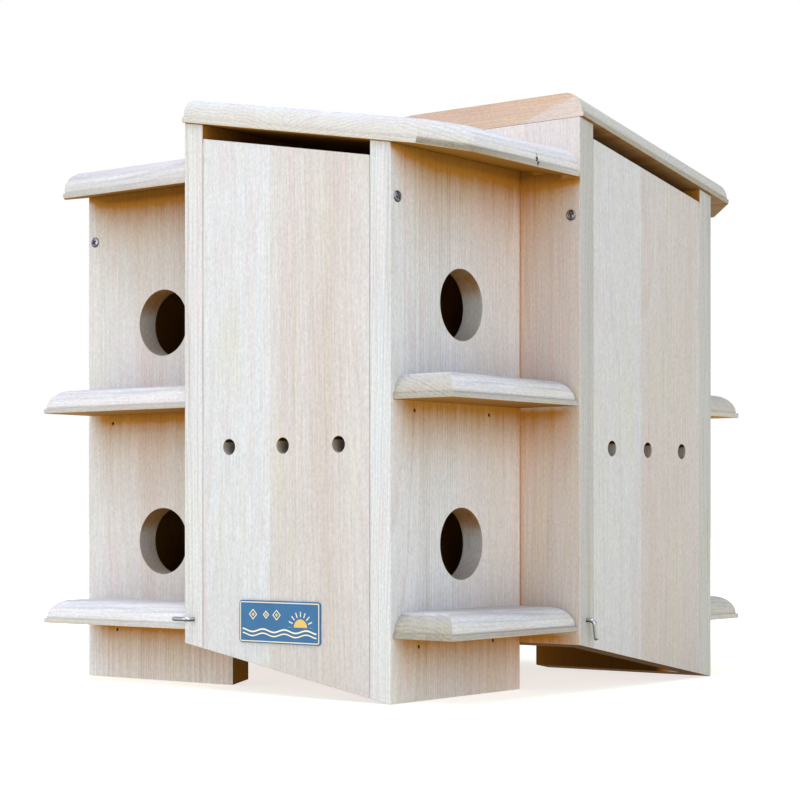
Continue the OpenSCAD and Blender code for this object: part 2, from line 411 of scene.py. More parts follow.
@dataclass
class Skin:
    """One closed surface: points, faces as rows of point numbers, and values at the points."""

    points: np.ndarray
    faces: list[np.ndarray]
    values: dict[str, np.ndarray] = field(default_factory=dict)

    def moved(self, turn: np.ndarray, shift: np.ndarray | tuple[float, float, float]) -> Skin:
        """Returns the skin turned by a 3 by 3 matrix and then shifted."""
        return Skin(self.points @ turn.T + np.asarray(shift), self.faces, self.values)


def merged(skins: list[Skin]) -> Skin:
    """Joins skins into one, keeping the values that all of them have.

    Args:
        skins: the skins to join.

    Returns:
        One skin that holds them all.
    """
    starts = np.cumsum([0] + [len(s.points) for s in skins[:-1]])
    faces = [f + start for s, start in zip(skins, starts) for f in s.faces]
    names = set.intersection(*[set(s.values) for s in skins])
    values = {n: np.concatenate([s.values[n] for s in skins]) for n in names}
    return Skin(np.concatenate([s.points for s in skins]), faces, values)


def make_piece(name: str, skin: Skin, material: bpy.types.Material, body: str,
               replaces: tuple[str, ...] = (), arris: float = 0.0, smooth_deg: float = 35.0,
               by_corner: CornerRule | None = None) -> bpy.types.Object:
    """Puts a skin into a mesh object that rides on a body.

    Args:
        name: the piece's name.
        skin: its surface, in the frame's own axes.
        material: its finish.
        body: the body that carries it.
        replaces: the frame's nodes that it stands for.
        arris: width of the worn edge, in metres, or 0 for none.
        smooth_deg: edges that turn less than this are shaded smooth.
        by_corner: gives further values from the face corners' places and normals.

    Returns:
        The new object.
    """
    mesh = bpy.data.meshes.new(name)
    rows = [row for block in skin.faces for row in block.tolist()]
    mesh.from_pydata(skin.points.tolist(), [], rows)
    work = bmesh.new()
    work.from_mesh(mesh)
    bmesh.ops.recalc_face_normals(work, faces=work.faces)
    work.to_mesh(mesh)
    work.free()
    for key, array in skin.values.items():
        kind = "FLOAT_VECTOR" if array.ndim == 2 else "FLOAT"
        layer = mesh.attributes.new(key, kind, "POINT")
        layer.data.foreach_set("vector" if array.ndim == 2 else "value", array.astype(np.float32).ravel())
    mesh.shade_smooth()
    mesh.set_sharp_from_angle(angle=math.radians(smooth_deg))
    if by_corner:
        owner = np.empty(len(mesh.loops), np.int32)
        mesh.loops.foreach_get("vertex_index", owner)
        normals = np.empty(len(mesh.loops) * 3, np.float32)
        mesh.corner_normals.foreach_get("vector", normals)
        for key, array in by_corner(skin.points[owner], normals.reshape(-1, 3)).items():
            layer = mesh.attributes.new(key, "FLOAT", "CORNER")
            layer.data.foreach_set("value", array.astype(np.float32))
    mesh.materials.append(material)
    piece = bpy.data.objects.new(name, mesh)
    bpy.context.scene.collection.objects.link(piece)
    if arris:
        bevel = piece.modifiers.new("worn_edge", "BEVEL")
        bevel.width = arris
        bevel.segments = 2
        bevel.limit_method = "ANGLE"
        bevel.angle_limit = math.radians(50)
        bevel.use_clamp_overlap = False
        bevel.harden_normals = True
    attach(piece, body)
    if replaces:
        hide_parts(*replaces)
    LOG.info("%s: %d points, %d faces, on %s", name, len(skin.points), len(rows), body)
    return piece


def smooth_step(x: np.ndarray) -> np.ndarray:
    """Rises smoothly from 0 to 1, as 3 x^2 - 2 x^3 of x held between 0 and 1."""
    held = np.clip(x, 0, 1)
    return held * held * (3 - 2 * held)


def spin_about_z(angle: float) -> np.ndarray:
    """Returns the matrix that turns points about z by this angle."""
    c, s = math.cos(angle), math.sin(angle)
    return np.array([[c, -s, 0], [s, c, 0], [0, 0, 1]])


def full_turn(sides: int, start: float = 0.0) -> np.ndarray:
    """Returns even angles round a full turn, from this start."""
    return np.arange(sides) * (2 * math.pi / sides) + start


def loop_walls(loops: np.ndarray) -> np.ndarray:
    """Returns the faces between each closed loop of point numbers and the next."""
    turned = np.roll(loops, -1, 1)
    return np.stack([loops[:-1], turned[:-1], turned[1:], loops[1:]], -1).reshape(-1, 4)


def grid_faces(rows: int, columns: int) -> tuple[np.ndarray, np.ndarray]:
    """Numbers the points of a grid, row by row.

    Args:
        rows: points in the first direction.
        columns: points in the second direction.

    Returns:
        The four-sided faces, and the loop of point numbers round the outside.
    """
    ids = np.arange(rows * columns).reshape(rows, columns)
    quads = np.stack([ids[:-1, :-1], ids[1:, :-1], ids[1:, 1:], ids[:-1, 1:]], -1).reshape(-1, 4)
    return quads, np.concatenate([ids[:-1, 0], ids[-1, :-1], ids[:0:-1, -1], ids[0, :0:-1]])


@dataclass(frozen=True)
class Hole:
    """A round hole in a flat sheet: its middle, radius, the half side of its cell, and depth.

    A depth of 0 goes right through. A shallow one is a dimple that narrows to its floor.
    """

    a: float
    b: float
    radius: float
    cell: float
    depth: float = 0.0
    sides: int = 64

    def lines(self, middle: float) -> np.ndarray:
        """Returns the grid lines that cross the cell, about its middle in one direction."""
        turns = np.linspace(-math.pi / 4, math.pi / 4, self.sides // 4 + 1)
        return middle + self.cell * np.tan(turns)

    def rim(self) -> np.ndarray:
        """Angles of the rim's points, from the middle of a corner of the cell."""
        return full_turn(self.sides, -math.pi / 4)

    def holds(self, a: np.ndarray, b: np.ndarray) -> np.ndarray:
        """Whether places in the sheet are within the hole or on its rim."""
        return np.hypot(a - self.a, b - self.b) < self.radius + 0.1 * MM

    def rings(self) -> np.ndarray:
        """Points between the round rim and the square cell.

        A point at angle t on the rim is joined by a straight line to the point at the same
        angle on the square, which is the rim's direction divided by its larger part.

        Returns:
            An array of rings by points by 2.
        """
        t = self.rim()
        ray = np.stack([np.cos(t), np.sin(t)], 1)
        square = self.cell * ray / np.abs(ray).max(1, keepdims=True)
        share = np.array([0.0, 0.35, 1.0])[:, None, None]
        return self.radius * ray * (1 - share) + square * share + np.array([self.a, self.b])


def drilled_sheet(a: np.ndarray, b: np.ndarray,
                  holes: list[Hole]) -> tuple[np.ndarray, np.ndarray, np.ndarray, list[np.ndarray]]:
    """A flat grid whose cells round each hole give way to rings.

    Args:
        a: grid lines in the first direction.
        b: grid lines in the second direction.
        holes: the holes; each cell's own lines are among a and b.

    Returns:
        The points, the four-sided faces, the outer loop and one rim loop for each hole.
    """
    grid = np.stack(np.meshgrid(a, b, indexing="ij"), -1).reshape(-1, 2)
    quads, loop = grid_faces(len(a), len(b))
    middles = grid[quads].mean(1)
    points, faces, rims = [grid], [], []
    start = len(grid)
    for hole in holes:
        inside = np.abs(middles - [hole.a, hole.b]).max(1) < hole.cell
        quads, middles = quads[~inside], middles[~inside]
        rings = hole.rings()
        ring_ids = start + np.arange(rings.shape[0] * hole.sides).reshape(rings.shape[0], hole.sides)
        turned = np.roll(ring_ids, -1, 1)
        faces.append(np.stack([ring_ids[:-1], ring_ids[1:], turned[1:], turned[:-1]], -1).reshape(-1, 4))
        points.append(rings.reshape(-1, 2))
        rims.append(ring_ids[0])
        start += rings.shape[0] * hole.sides
    joined = np.concatenate(points)
    first, back = np.unique(np.round(joined, 7), axis=0, return_index=True, return_inverse=True)[1:]
    back = back.reshape(-1)
    used = np.unique(back[np.concatenate([quads] + faces).ravel()])
    renumber = np.full(len(first), -1)
    renumber[used] = np.arange(len(used))
    new_ids = renumber[back]
    all_faces = new_ids[np.concatenate([quads] + faces)]
    return joined[first[used]], all_faces, new_ids[loop], [new_ids[r] for r in rims]


def spread(low: float, high: float, step: float, *more: np.ndarray) -> np.ndarray:
    """Grid lines from low to high about a step apart, with other lines that must be there.

    Args:
        low: first line.
        high: last line.
        step: the largest gap that even lines leave.
        more: sets of lines to include; even lines that come near them are dropped.

    Returns:
        The sorted lines.
    """
    extra = np.concatenate(more) if more else np.array([])
    even = np.linspace(low, high, max(2, int(math.ceil((high - low) / step)) + 1))
    if len(extra):
        inner = even[1:-1]
        near = np.abs(inner[:, None] - extra[None, :]).min(1) < step * 0.35
        for group in more:
            near |= (inner > group.min()) & (inner < group.max())
        even = np.concatenate([even[:1], inner[~near], even[-1:]])
    return np.unique(np.round(np.concatenate([even, extra]), 7))


def drilled_board(a: np.ndarray, b: np.ndarray, holes: list[Hole], thickness: float,
                  lift: Callable[[np.ndarray, np.ndarray, np.ndarray], np.ndarray]) -> Skin:
    """A board of two drilled sheets, joined round the outside and through the holes.

    Args:
        a: grid lines in the first direction.
        b: grid lines in the second direction.
        holes: holes and dimples; dimples are only in the first sheet.
        thickness: thickness of the board.
        lift: function of (a, b, depth) arrays that gives the points.

    Returns:
        The closed skin.
    """
    front, front_faces, front_loop, front_rims = drilled_sheet(a, b, holes)
    through = [h for h in holes if not h.depth]
    back, back_faces, back_loop, back_rims = drilled_sheet(a, b, through)
    n = len(front)
    points = [lift(front[:, 0], front[:, 1], np.zeros(n)),
              lift(back[:, 0], back[:, 1], np.full(len(back), thickness))]
    faces = [front_faces, back_faces[:, ::-1] + n, loop_walls(np.stack([front_loop, back_loop + n]))]
    rims = iter(back_rims)
    start = n + len(back)
    for hole, rim in zip(holes, front_rims):
        if not hole.depth:
            faces.append(loop_walls(np.stack([rim, next(rims) + n])))
            continue
        t = hole.rim()
        middle = np.array([[hole.a, hole.b]])
        ring = np.concatenate([middle + 0.6 * hole.radius * np.stack([np.cos(t), np.sin(t)], 1), middle])
        points.append(lift(ring[:, 0], ring[:, 1], np.full(len(ring), hole.depth)))
        ids = start + np.arange(hole.sides)
        faces.append(loop_walls(np.stack([rim, ids])))
        faces.append(np.stack([ids, np.roll(ids, -1), np.full(hole.sides, start + hole.sides)], -1))
        start += len(ring)
    return Skin(np.concatenate(points), faces)


def eased_board(outline: Callable[[float, float], np.ndarray], lip: float, ledge: float, radius: float,
                wear: float = 0.6 * MM, steps: int = 12) -> Skin:
    """A board with a square lip, a ledge and a rounded top edge.

    Over the lip, the outline is set in by the ledge plus r (1 - cos t) at the height
    lip + r sin t, with t from 0 to a quarter turn. The lip's own edges are worn round.

    Args:
        outline: function of the set-in distance and the height that gives the corners,
            counter-clockwise.
        lip: height of the square lip.
        ledge: width of the flat ledge on the lip.
        radius: radius of the quarter circle.
        wear: radius of the lip's worn edges.
        steps: faces round the quarter circle.

    Returns:
        The closed skin.
    """
    quarter = np.radians([0.0, 30.0, 60.0, 90.0])
    worn, turn = wear * (1 - np.cos(quarter)), wear * (1 - np.sin(quarter))
    t = np.linspace(0, math.pi / 2, steps + 1)
    inset = np.concatenate([worn[::-1], worn, ledge + radius * (1 - np.cos(t))])
    height = np.concatenate([turn[::-1], lip - turn, lip + radius * np.sin(t)])
    rings = [np.column_stack([outline(d, z), np.full(len(outline(d, z)), z)]) for d, z in zip(inset, height)]
    sides = len(rings[0])
    ids = np.arange(len(rings) * sides).reshape(len(rings), sides)
    return Skin(np.concatenate(rings), [loop_walls(ids), ids[:1, ::-1], ids[-1:]])


def turned_profile(radius: np.ndarray, height: np.ndarray, sides: int = 48) -> Skin:
    """A solid of revolution about z, closed at both poles.

    The profile's points (radius, height) are swept through a full turn; the first and
    last points lie on the axis and become one pole each.

    Args:
        radius: distances from the axis, with 0 first and last.
        height: heights of the same points.
        sides: faces round the axis.

    Returns:
        The closed skin.
    """
    t = full_turn(sides)
    r, z = radius[1:-1, None], np.repeat(height[1:-1, None], sides, 1)
    rings = np.stack([r * np.cos(t), r * np.sin(t), z], -1).reshape(-1, 3)
    poles = np.array([[0, 0, height[0]], [0, 0, height[-1]]])
    ids = np.arange(len(rings)).reshape(-1, sides)
    low, high = np.full(sides, ids.size), np.full(sides, ids.size + 1)
    faces = [loop_walls(ids), np.stack([np.roll(ids[0], -1), ids[0], low], -1),
             np.stack([ids[-1], np.roll(ids[-1], -1), high], -1)]
    return Skin(np.concatenate([rings, poles]), faces)


def tube(path: np.ndarray, radius: np.ndarray, sides: int = 20) -> Skin:
    """A round wire along a path that lies in the x-z plane, with rounded ends.

    Each ring is the wire's circle in the plane of y and the path's normal, which is the
    path's direction turned a quarter turn in the x-z plane.

    Args:
        path: points (n, 3), evenly smooth.
        radius: the wire's radius at each point.
        sides: faces round the wire.

    Returns:
        The closed skin.
    """
    along = np.gradient(path, axis=0)
    along /= np.linalg.norm(along, axis=1, keepdims=True)
    normal = np.stack([-along[:, 2], np.zeros(len(path)), along[:, 0]], 1)
    t = full_turn(sides)[None, :, None]
    circle = np.cos(t) * normal[:, None] + np.sin(t) * np.array([0.0, 1.0, 0.0])
    rings = (path[:, None] + radius[:, None, None] * circle).reshape(-1, 3)
    ids = np.arange(len(path) * sides).reshape(len(path), sides)
    return Skin(rings, [loop_walls(ids), ids[:1, ::-1], ids[-1:]])


# ---------------------------------------------------------------- sizes taken from the frame


@dataclass
class HouseSizes:
    """Driving sizes of the house, in metres; the first six are read from the frame's boxes.

    A cell is half the side of the grid's square round a hole, and the steps are the grid's.
    The nails' insets are from the wing's outer end, and their shifts are the upper and the
    lower floor's own. The eased edge is a quarter round over a ledge on a square lip.
    """

    board: float
    plain: float
    entrance: float
    reach: float
    slope: float
    wall_height: float
    ease_radius: float = 15.0 * MM
    ease_ledge: float = 1.6 * MM
    entry_radius: float = 27.0 * MM
    entry_cell: float = 31.0 * MM
    vent_radius: float = 6.0 * MM
    vent_cell: float = 9.0 * MM
    dimple_radius: float = 1.8 * MM
    dimple_cell: float = 2.6 * MM
    dimple_depth: float = 0.6 * MM
    nail_insets_mm: tuple[float, float] = (31.0, 125.0)
    nail_shifts_mm: tuple[float, float] = (-2.0, 3.0)
    side_step: float = 9.0 * MM
    up_step: float = 6.0 * MM
    corner_cut: float = 30.3 * MM
    door_gap: float = 1.6 * MM
    door_spread: float = 1.2 * MM
    eave_setback: float = 1.0 * MM
    arris: float = 0.7 * MM

    @classmethod
    def from_frame(cls) -> HouseSizes:
        """Works the sizes out from the first wing's walls.

        Returns:
            The sizes.
        """
        plain_low, plain_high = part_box("plain_wall_1")
        entrance_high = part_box("entrance_wall_1")[1]
        board = plain_high.x - plain_low.x
        slope = plain_low.z / (entrance_high.x - plain_high.x)
        return cls(board=board, plain=plain_low.x, entrance=entrance_high.x, reach=-plain_low.y,
                   slope=slope, wall_height=entrance_high.z - slope * board)

    @property
    def fall(self) -> float:
        """Angle of the roofs and floors, in radians."""
        return math.atan(self.slope)

    def rise(self, across: np.ndarray | float) -> np.ndarray | float:
        """Height that a sloping line gains from the entrance wall's face to this place."""
        return self.slope * (self.entrance - across)


def node_box(name: str) -> np.ndarray:
    """Lowest and highest corners of one of the frame's nodes."""
    return np.array([list(corner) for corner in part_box(name)])


def opening_middle(name: str) -> np.ndarray:
    """Middle of one of the record's stated openings."""
    boxes = {o["name"]: o["box_m"] for o in frame["record"]["physics"]["openings"]}
    return np.array(boxes[name]).mean(0)


def joint_place(name: str) -> np.ndarray:
    """Place of a joint of the record."""
    return np.array(next(j["pos_m"] for j in frame["joints"] if j["name"] == name))


# ---------------------------------------------------------------- wood, weather, and painted light and shade


# The cosine over which a face looks along an axis, and the one under which it looks aside from it.
ALONG = 0.7
ASIDE = 0.3


def nowhere(points: np.ndarray, normals: np.ndarray) -> np.ndarray:
    """The rule that gives every point 0."""
    return np.zeros(len(points))


def on_faces(direction: tuple[int, int, int], least: float, amount: float) -> FaceRule:
    """The rule that gives an amount to faces that look along a direction, by at least this cosine."""
    return lambda points, normals: np.where(normals @ np.array(direction) > least, amount, 0.0)


@dataclass(frozen=True)
class Timber:
    """What a board is glued up and cut from.

    The glue line is the place of the first one across the fibres, and the stave is the width
    between two. The tones are those of the first stave and of the others, from 0 (bleached) to
    1 (tan). The painted light is a brightness, the board's or each point's, that paints light
    and shade falling on it. The pith lies up to the first distance to the side, and at least
    the second behind the board. A knot is its middle and three radii, in the wing's axes. A
    wedge below 0 is where a paler wedge covers a fresh face.
    """

    grain: Grain
    glue_line: float
    stave: float
    tones: tuple[float, float]
    # Painted light and shade: a brightness for the board or for each point.
    bright: np.ndarray | float = 1.0
    pith: tuple[float, float] = (160 * MM, 25 * MM)
    knot: tuple[float, ...] | None = None
    wedge: np.ndarray | float = 1.0


@dataclass(frozen=True)
class Weather:
    """What age and painted light and shade did to a board's faces, as rules of points and normals in the
    wing's axes.

    Amber and shade keeps wood amber where it is sheltered, partly as painted shade, and above 1 it
    is painted shade that darkens. Sun bleaches, and in part it is painted light. Fresh is how newly
    sawn a face looks, and grey and shade is painted shade and green bounce light, with a greying of
    some edges.
    """

    shelter: FaceRule = nowhere
    sun: FaceRule = nowhere
    fresh: FaceRule = nowhere
    damp: FaceRule = nowhere


@dataclass(frozen=True)
class PorchWear:
    """How one porch looks: painted shade and green bounce light on its lip, greying on its outer end, and its
    painted light.
    """

    lip_damp: float = 0.53
    end_damp: float = 0.1
    bright: float = 0.92


@dataclass(frozen=True)
class WingWear:
    """How one wing is cut and weathered, with its painted light and shade, as no two boards of a house are
    alike.

    The eave and porch values shape the amber and painted shade of the entrance wall, the others
    are parts of Timber and Weather for the board that they name. The foot is a wall's lower end,
    the nook is the wall's part beside the shaft, and the hook's angle is where its arm points. The
    painted light values make a board or a part of it lighter or darker, as light and shade would.
    """

    # How far and how deep the amber and painted shade reach under the eave and the porches.
    eave_reach: float = 45 * MM
    eave_power: float = 1.2
    eave_edge: float = 34 * MM
    eave_near: float = 0.55
    porch_far: float = 0.9
    porch_near: float = 0.2
    entrance_glue: float = 150 * MM
    entrance_tones: tuple[float, float] = (0.5, 0.2)
    # Painted light: the entrance wall's brightness, with more beside the shaft and at the foot.
    entrance_bright: float = 1.0
    nook_bright: float = 0.0
    foot_bright: float = 0.0
    # Sun at the foot and by the corner: bleaching, and at the foot painted light as well.
    foot_sun: float = 0.0
    corner_sun: float = 0.0
    entrance_edge_damp: float = 0.06
    plain_edge_damp: float = 0.06
    # Painted light: the plain wall lighter towards the shaft.
    plain_bright: float = 0.02
    # Painted light on the roof, and sun on its top that is partly painted light.
    roof_bright: float = 1.0
    roof_sun: float = 0.85
    # Painted shade and green bounce light on the roof's lip and underside, greying on its ends, and painted
    # shade under it.
    roof_lip_damp: float = 0.82
    roof_end_damp: float = 0.02
    roof_under_damp: float = 0.0
    roof_under_shelter: float = 1.5
    roof_knot: bool = False
    door_glue: float = 41.4 * MM
    door_tones: tuple[float, float] = (0.12, 0.4)
    # Painted light on the door.
    door_bright: float = 0.905
    hook_deg: float = -90.0
    upper_porch: PorchWear = PorchWear()
    lower_porch: PorchWear = PorchWear()


WEAR = {
    1: WingWear(entrance_glue=178 * MM, entrance_tones=(0.42, 0.1), entrance_bright=0.955, nook_bright=0.22,
                corner_sun=0.9, roof_bright=1.02, roof_knot=True, hook_deg=180.0,
                upper_porch=PorchWear(0.43, 0.2, 0.98), lower_porch=PorchWear(0.53, 0.32, 0.93)),
    2: WingWear(entrance_edge_damp=0.33, plain_edge_damp=0.38, plain_bright=0.19, roof_end_damp=0.5,
                roof_under_damp=0.8, roof_under_shelter=0.9, door_glue=43.0 * MM, door_tones=(0.05, 0.66),
                door_bright=0.89, hook_deg=-79.0,
                upper_porch=PorchWear(0.12, 0.1, 1.06), lower_porch=PorchWear(0.12, 0.1, 1.06)),
    3: WingWear(entrance_glue=165 * MM, entrance_tones=(0.4, 0.7), door_glue=30.0 * MM),
    4: WingWear(eave_reach=30 * MM, eave_power=1.5, eave_edge=14 * MM, eave_near=0.75, porch_far=0.72,
                porch_near=0.7, entrance_tones=(0.62, 0.45), entrance_bright=0.975, foot_bright=0.13,
                foot_sun=0.85, roof_bright=0.88, roof_sun=0.5, roof_lip_damp=0.3, door_glue=60.0 * MM,
                upper_porch=PorchWear(0.42, 0.1, 1.0), lower_porch=PorchWear(0.3, 0.1, 1.02)),
}


# ---------------------------------------------------------------- the house


@dataclass
class Wing:
    """One wing: its walls, floors, roof, porches, door, pivot screws, hook and nails."""

    number: int
    sizes: HouseSizes
    finishes: Finishes
    seed: float = 0.0

    @property
    def wear(self) -> WingWear:
        """How this wing has weathered."""
        return WEAR[self.number]

    @property
    def turn(self) -> np.ndarray:
        """Matrix that turns the wing's own axes into the frame's."""
        return np.round(spin_about_z(math.pi / 2 * (self.number - 1)))

    def local_box(self, node: str) -> tuple[np.ndarray, np.ndarray]:
        """Lowest and highest corners of one of this wing's nodes, in the wing's axes."""
        corners = node_box(f"{node}_{self.number}") @ self.turn
        return corners.min(0), corners.max(0)

    def local_point(self, place: np.ndarray) -> np.ndarray:
        """A point of the frame, in the wing's axes."""
        return place @ self.turn

    def drop(self, points: np.ndarray) -> np.ndarray:
        """How far points lie below the line of the roof's underside."""
        return self.sizes.wall_height + self.sizes.rise(points[:, 0]) - points[:, 2]

    def nearness(self, points: np.ndarray, reach: float) -> np.ndarray:
        """How near points are to the shaft: an exponential of the distance out from its side."""
        return np.exp(-(self.sizes.plain - points[:, 1]).clip(0) / reach)

    def shelter(self, points: np.ndarray) -> np.ndarray:
        """Amber and painted shade in the corner beside the entrance wall, 0 to 1.5: how far a point is kept
        from light.

        Under the roof it is the sum of a far and a near exponential of the depth below the
        board, whose reach shrinks towards the open edges. Under a porch it is another such
        sum, faded out beside the porch's ends. The larger of the two holds, and it grows a
        little towards the shaft.

        Args:
            points: points in the wing's axes.

        Returns:
            The amber and painted shade at each point.
        """
        s, wear = self.sizes, self.wear
        lap, fade = 4 * MM, 22 * MM
        drop = self.drop(points)
        gap = np.minimum(s.reach + points[:, 1], s.reach - points[:, 0]).clip(0)
        reach = wear.eave_reach * (1.0 - 0.9 * np.exp(-gap / wear.eave_edge))
        deep = drop.clip(0) / reach
        amount = 1.05 * np.exp(-deep ** wear.eave_power) + wear.eave_near * np.exp(-(deep / 0.35) ** 2)
        amount = np.where(drop > -3 * MM, amount, 0)
        for node in ("upper_porch", "lower_porch"):
            low, high = self.local_box(node)
            side = np.clip((points[:, 1] - low[1] + lap) / fade, 0, 1)
            front = np.clip((high[0] - points[:, 0] + lap) / fade, 0, 1)
            under = (low[2] - points[:, 2]).clip(0)
            lid = wear.porch_far * np.exp(-(under / (28 * MM)) ** 1.3)
            lid += wear.porch_near * np.exp(-(under / (8 * MM)) ** 2)
            lid = np.where(low[2] - points[:, 2] > -MM, lid, 0)
            amount = np.maximum(amount, lid * np.minimum(side, front))
        above_roof = drop < -s.board
        return np.where(above_roof, 0.0, np.clip(amount + 0.06 * self.nearness(points, 40 * MM), 0, 1.5))

    def inside_depth(self, points: np.ndarray) -> np.ndarray:
        """Painted shade deep inside the wing: more under the lower floor, and less at its inner end."""
        under = points[:, 2] < self.local_box("lower_floor")[0][2]
        return np.where(under, 1.95 - 0.35 * self.nearness(points, 45 * MM), 1.55)

    def inside(self, points: np.ndarray) -> np.ndarray:
        """Painted shade on the walls' inner faces, which fades out beside the closed door, not above it.

        Args:
            points: points in the wing's axes.

        Returns:
            The painted shade at each point.
        """
        s = self.sizes
        beside = np.clip((s.reach - s.board + points[:, 1]) / (12 * MM), 0.1, self.inside_depth(points))
        return np.where(self.drop(points) < 13 * MM, np.maximum(beside, 1.3), beside)

    def dress(self, name: str, skin: Skin, timber: Timber, weather: Weather, node: str, seed: float,
              body: str = HOUSE, arris: float | None = None) -> bpy.types.Object:
        """Gives a board its grain values and puts it in the scene.

        The grain value is (across the fibres, depth, along the fibres). The board value is
        (stave number as a running fraction, seed, stave width). Both are linear in place.

        Args:
            name: the piece's name.
            skin: the board, in the wing's axes.
            timber: what it is cut from.
            weather: what age has done to its faces.
            node: the frame's node that it stands for.
            seed: number that sets its pattern apart.
            body: the body that carries it.
            arris: width of the worn edges, or None for the usual one.

        Returns:
            The board.
        """
        x, y, z = skin.points.T
        if timber.grain is Grain.UPRIGHT:
            across, depth, along = (-y, x, z) if np.ptp(x) < np.ptp(y) else (x, -y, z)
            fibre = np.array([0.0, 0.0, 1.0])
        else:
            across, depth, along = x, z, -y
            fibre = np.array([0.0, 1.0, 0.0])
        zero = 0 * x
        board_seed = self.seed + seed
        middle, size = (np.array(timber.knot[:3]), np.array(timber.knot[3:])) if timber.knot else (9.0, MM)
        # The tones value carries the board's painted light as its third part.
        for key, parts in {
                "grain": (across, depth - depth.min(), along + board_seed * 0.37),
                "board": ((across - timber.glue_line) / timber.stave + 1, board_seed, timber.stave),
                "tones": (*timber.tones, timber.bright),
                "pith": (*timber.pith, timber.wedge)}.items():
            skin.values[key] = np.stack([part + zero for part in parts], 1)
        skin.values["knot"] = (skin.points - middle) / size

        def by_corner(points: np.ndarray, normals: np.ndarray) -> dict[str, np.ndarray]:
            """Marks end grain where a face looks along the fibres, and gives the weather's values, painted
            light and shade among them.

            Args:
                points: points in the frame's axes.
                normals: the directions that the faces look in at them.

            Returns:
                The end, amber and shade, sun, fresh, and grey and shade values.
            """
            local, facing = points @ self.turn, normals @ self.turn
            ends = np.clip((np.abs(facing @ fibre) - 0.35) / 0.45, 0, 1)
            return {"end": ends} | {key: rule(local, facing) for key, rule in vars(weather).items()}

        return make_piece(name, skin.moved(self.turn, (0, 0, 0)), self.finishes.pine, body,
                          (node,), arris=self.sizes.arris if arris is None else arris, by_corner=by_corner)

    def build(self) -> None:
        """Builds every piece of the wing."""
        self.entrance_wall()
        self.plain_wall()
        self.roof()
        self.floors()
        self.porches()
        self.door()
        PivotScrews(self).build()
        WireHook(self).build()

    @staticmethod
    def bore_damp(holes: list[Hole], side: int, most: float) -> FaceRule:
        """Makes the rule that paints grey shade on the walls of holes, most of all above.

        Args:
            holes: the holes, placed by distance out or across, and height.
            side: 0 where the holes are placed by distance out, 1 by distance across.
            most: how grey a hole's side is.

        Returns:
            The rule.
        """

        def damp(points: np.ndarray, normals: np.ndarray) -> np.ndarray:
            """Painted grey shade on the points that lie on a hole's rim and face into it.

            Args:
                points: points in the wing's axes.
                normals: the directions that the faces look in at them.

            Returns:
                The painted shade at each point.
            """
            place = -points[:, 1] if side == 0 else points[:, 0]
            amount = np.zeros(len(points))
            for hole in holes:
                near = hole.holds(place, points[:, 2]) & (np.abs(normals[:, side]) < ASIDE)
                amount = np.where(near, most * (1.0 - 0.6 * normals[:, 2]), amount)
            return amount

        return damp

    def wall_damp(self, holes: list[Hole], edge: float) -> FaceRule:
        """The rule for a wall: this greying on its outer edge, and painted grey shade in its holes."""
        bore = self.bore_damp(holes, 0, 0.25)
        return lambda points, normals: np.where(self.outer_edge(points, normals), edge, bore(points, normals))

    @staticmethod
    def outer_edge(points: np.ndarray, normals: np.ndarray) -> np.ndarray:
        """Which points are on a wall's outer edge."""
        return (normals[:, 1] < -ALONG) & (points[:, 1] < points[:, 1].min() + MM)

    def bleached_edge(self, points: np.ndarray, normals: np.ndarray) -> np.ndarray:
        """The walls' outer edges stand in full light."""
        return np.where(self.outer_edge(points, normals), 0.85, 0.0)

    def bleached_parts(self, points: np.ndarray, normals: np.ndarray) -> np.ndarray:
        """Sun on the entrance wall: its outer edge, its foot, where it is painted light, and a bell curve
        about its corner.

        Args:
            points: points in the wing's axes.
            normals: the directions that the faces look in at them.

        Returns:
            The sun at each point.
        """
        # At the foot, under the lower porch, the sun is painted light where real shade falls.
        foot = points[:, 2] < self.local_box("lower_porch")[0][2] - 12 * MM
        bell = np.exp(-((points[:, 1] + self.sizes.entrance) / (45 * MM)) ** 2)
        amount = np.maximum(self.wear.foot_sun * foot, self.wear.corner_sun * bell)
        return np.maximum(amount, self.bleached_edge(points, normals))

    @staticmethod
    def bore_amber(holes: list[Hole], points: np.ndarray, normals: np.ndarray) -> np.ndarray:
        """Amber painted shade on the upper part of each hole's wall, with a soft lower end.

        Args:
            holes: the holes, placed by distance out and height.
            points: points in the wing's axes.
            normals: the directions that the faces look in at them.

        Returns:
            The amber and painted shade at each point.
        """
        rim = np.any([hole.holds(-points[:, 1], points[:, 2]) for hole in holes], 0)
        rise = smooth_step((-normals[:, 2] - 0.1) / 0.6)
        return np.where(rim & (np.abs(normals[:, 0]) < ASIDE), 0.85 * rise, 0.0)

    def openings(self, names: tuple[str, ...], axis: int, radius: float, cell: float,
                 sides: int) -> list[Hole]:
        """The through holes at some of the record's openings.

        Args:
            names: the openings' names.
            axis: 0 where their place is measured across, 1 where it is measured out.
            radius: their radius.
            cell: half side of the cell of grid round each.
            sides: faces round each.

        Returns:
            The holes.
        """
        middles = [self.local_point(opening_middle(name)) * (1, -1, 1) for name in names]
        return [Hole(middle[axis], middle[2], radius, cell, 0.0, sides) for middle in middles]

    def nail_places(self) -> list[tuple[float, float]]:
        """Where nails go through the entrance wall into the floors.

        Returns:
            Pairs of (distance out, height).
        """
        places = []
        s = self.sizes
        for node, shift in zip(("upper_floor", "lower_floor"), s.nail_shifts_mm):
            low, high = self.local_box(node)
            upright = (high[2] - low[2]) - s.slope * (high[0] - low[0])
            height = low[2] + upright / 2
            places += [(s.reach - (inset + shift) * MM, height) for inset in s.nail_insets_mm]
        return places

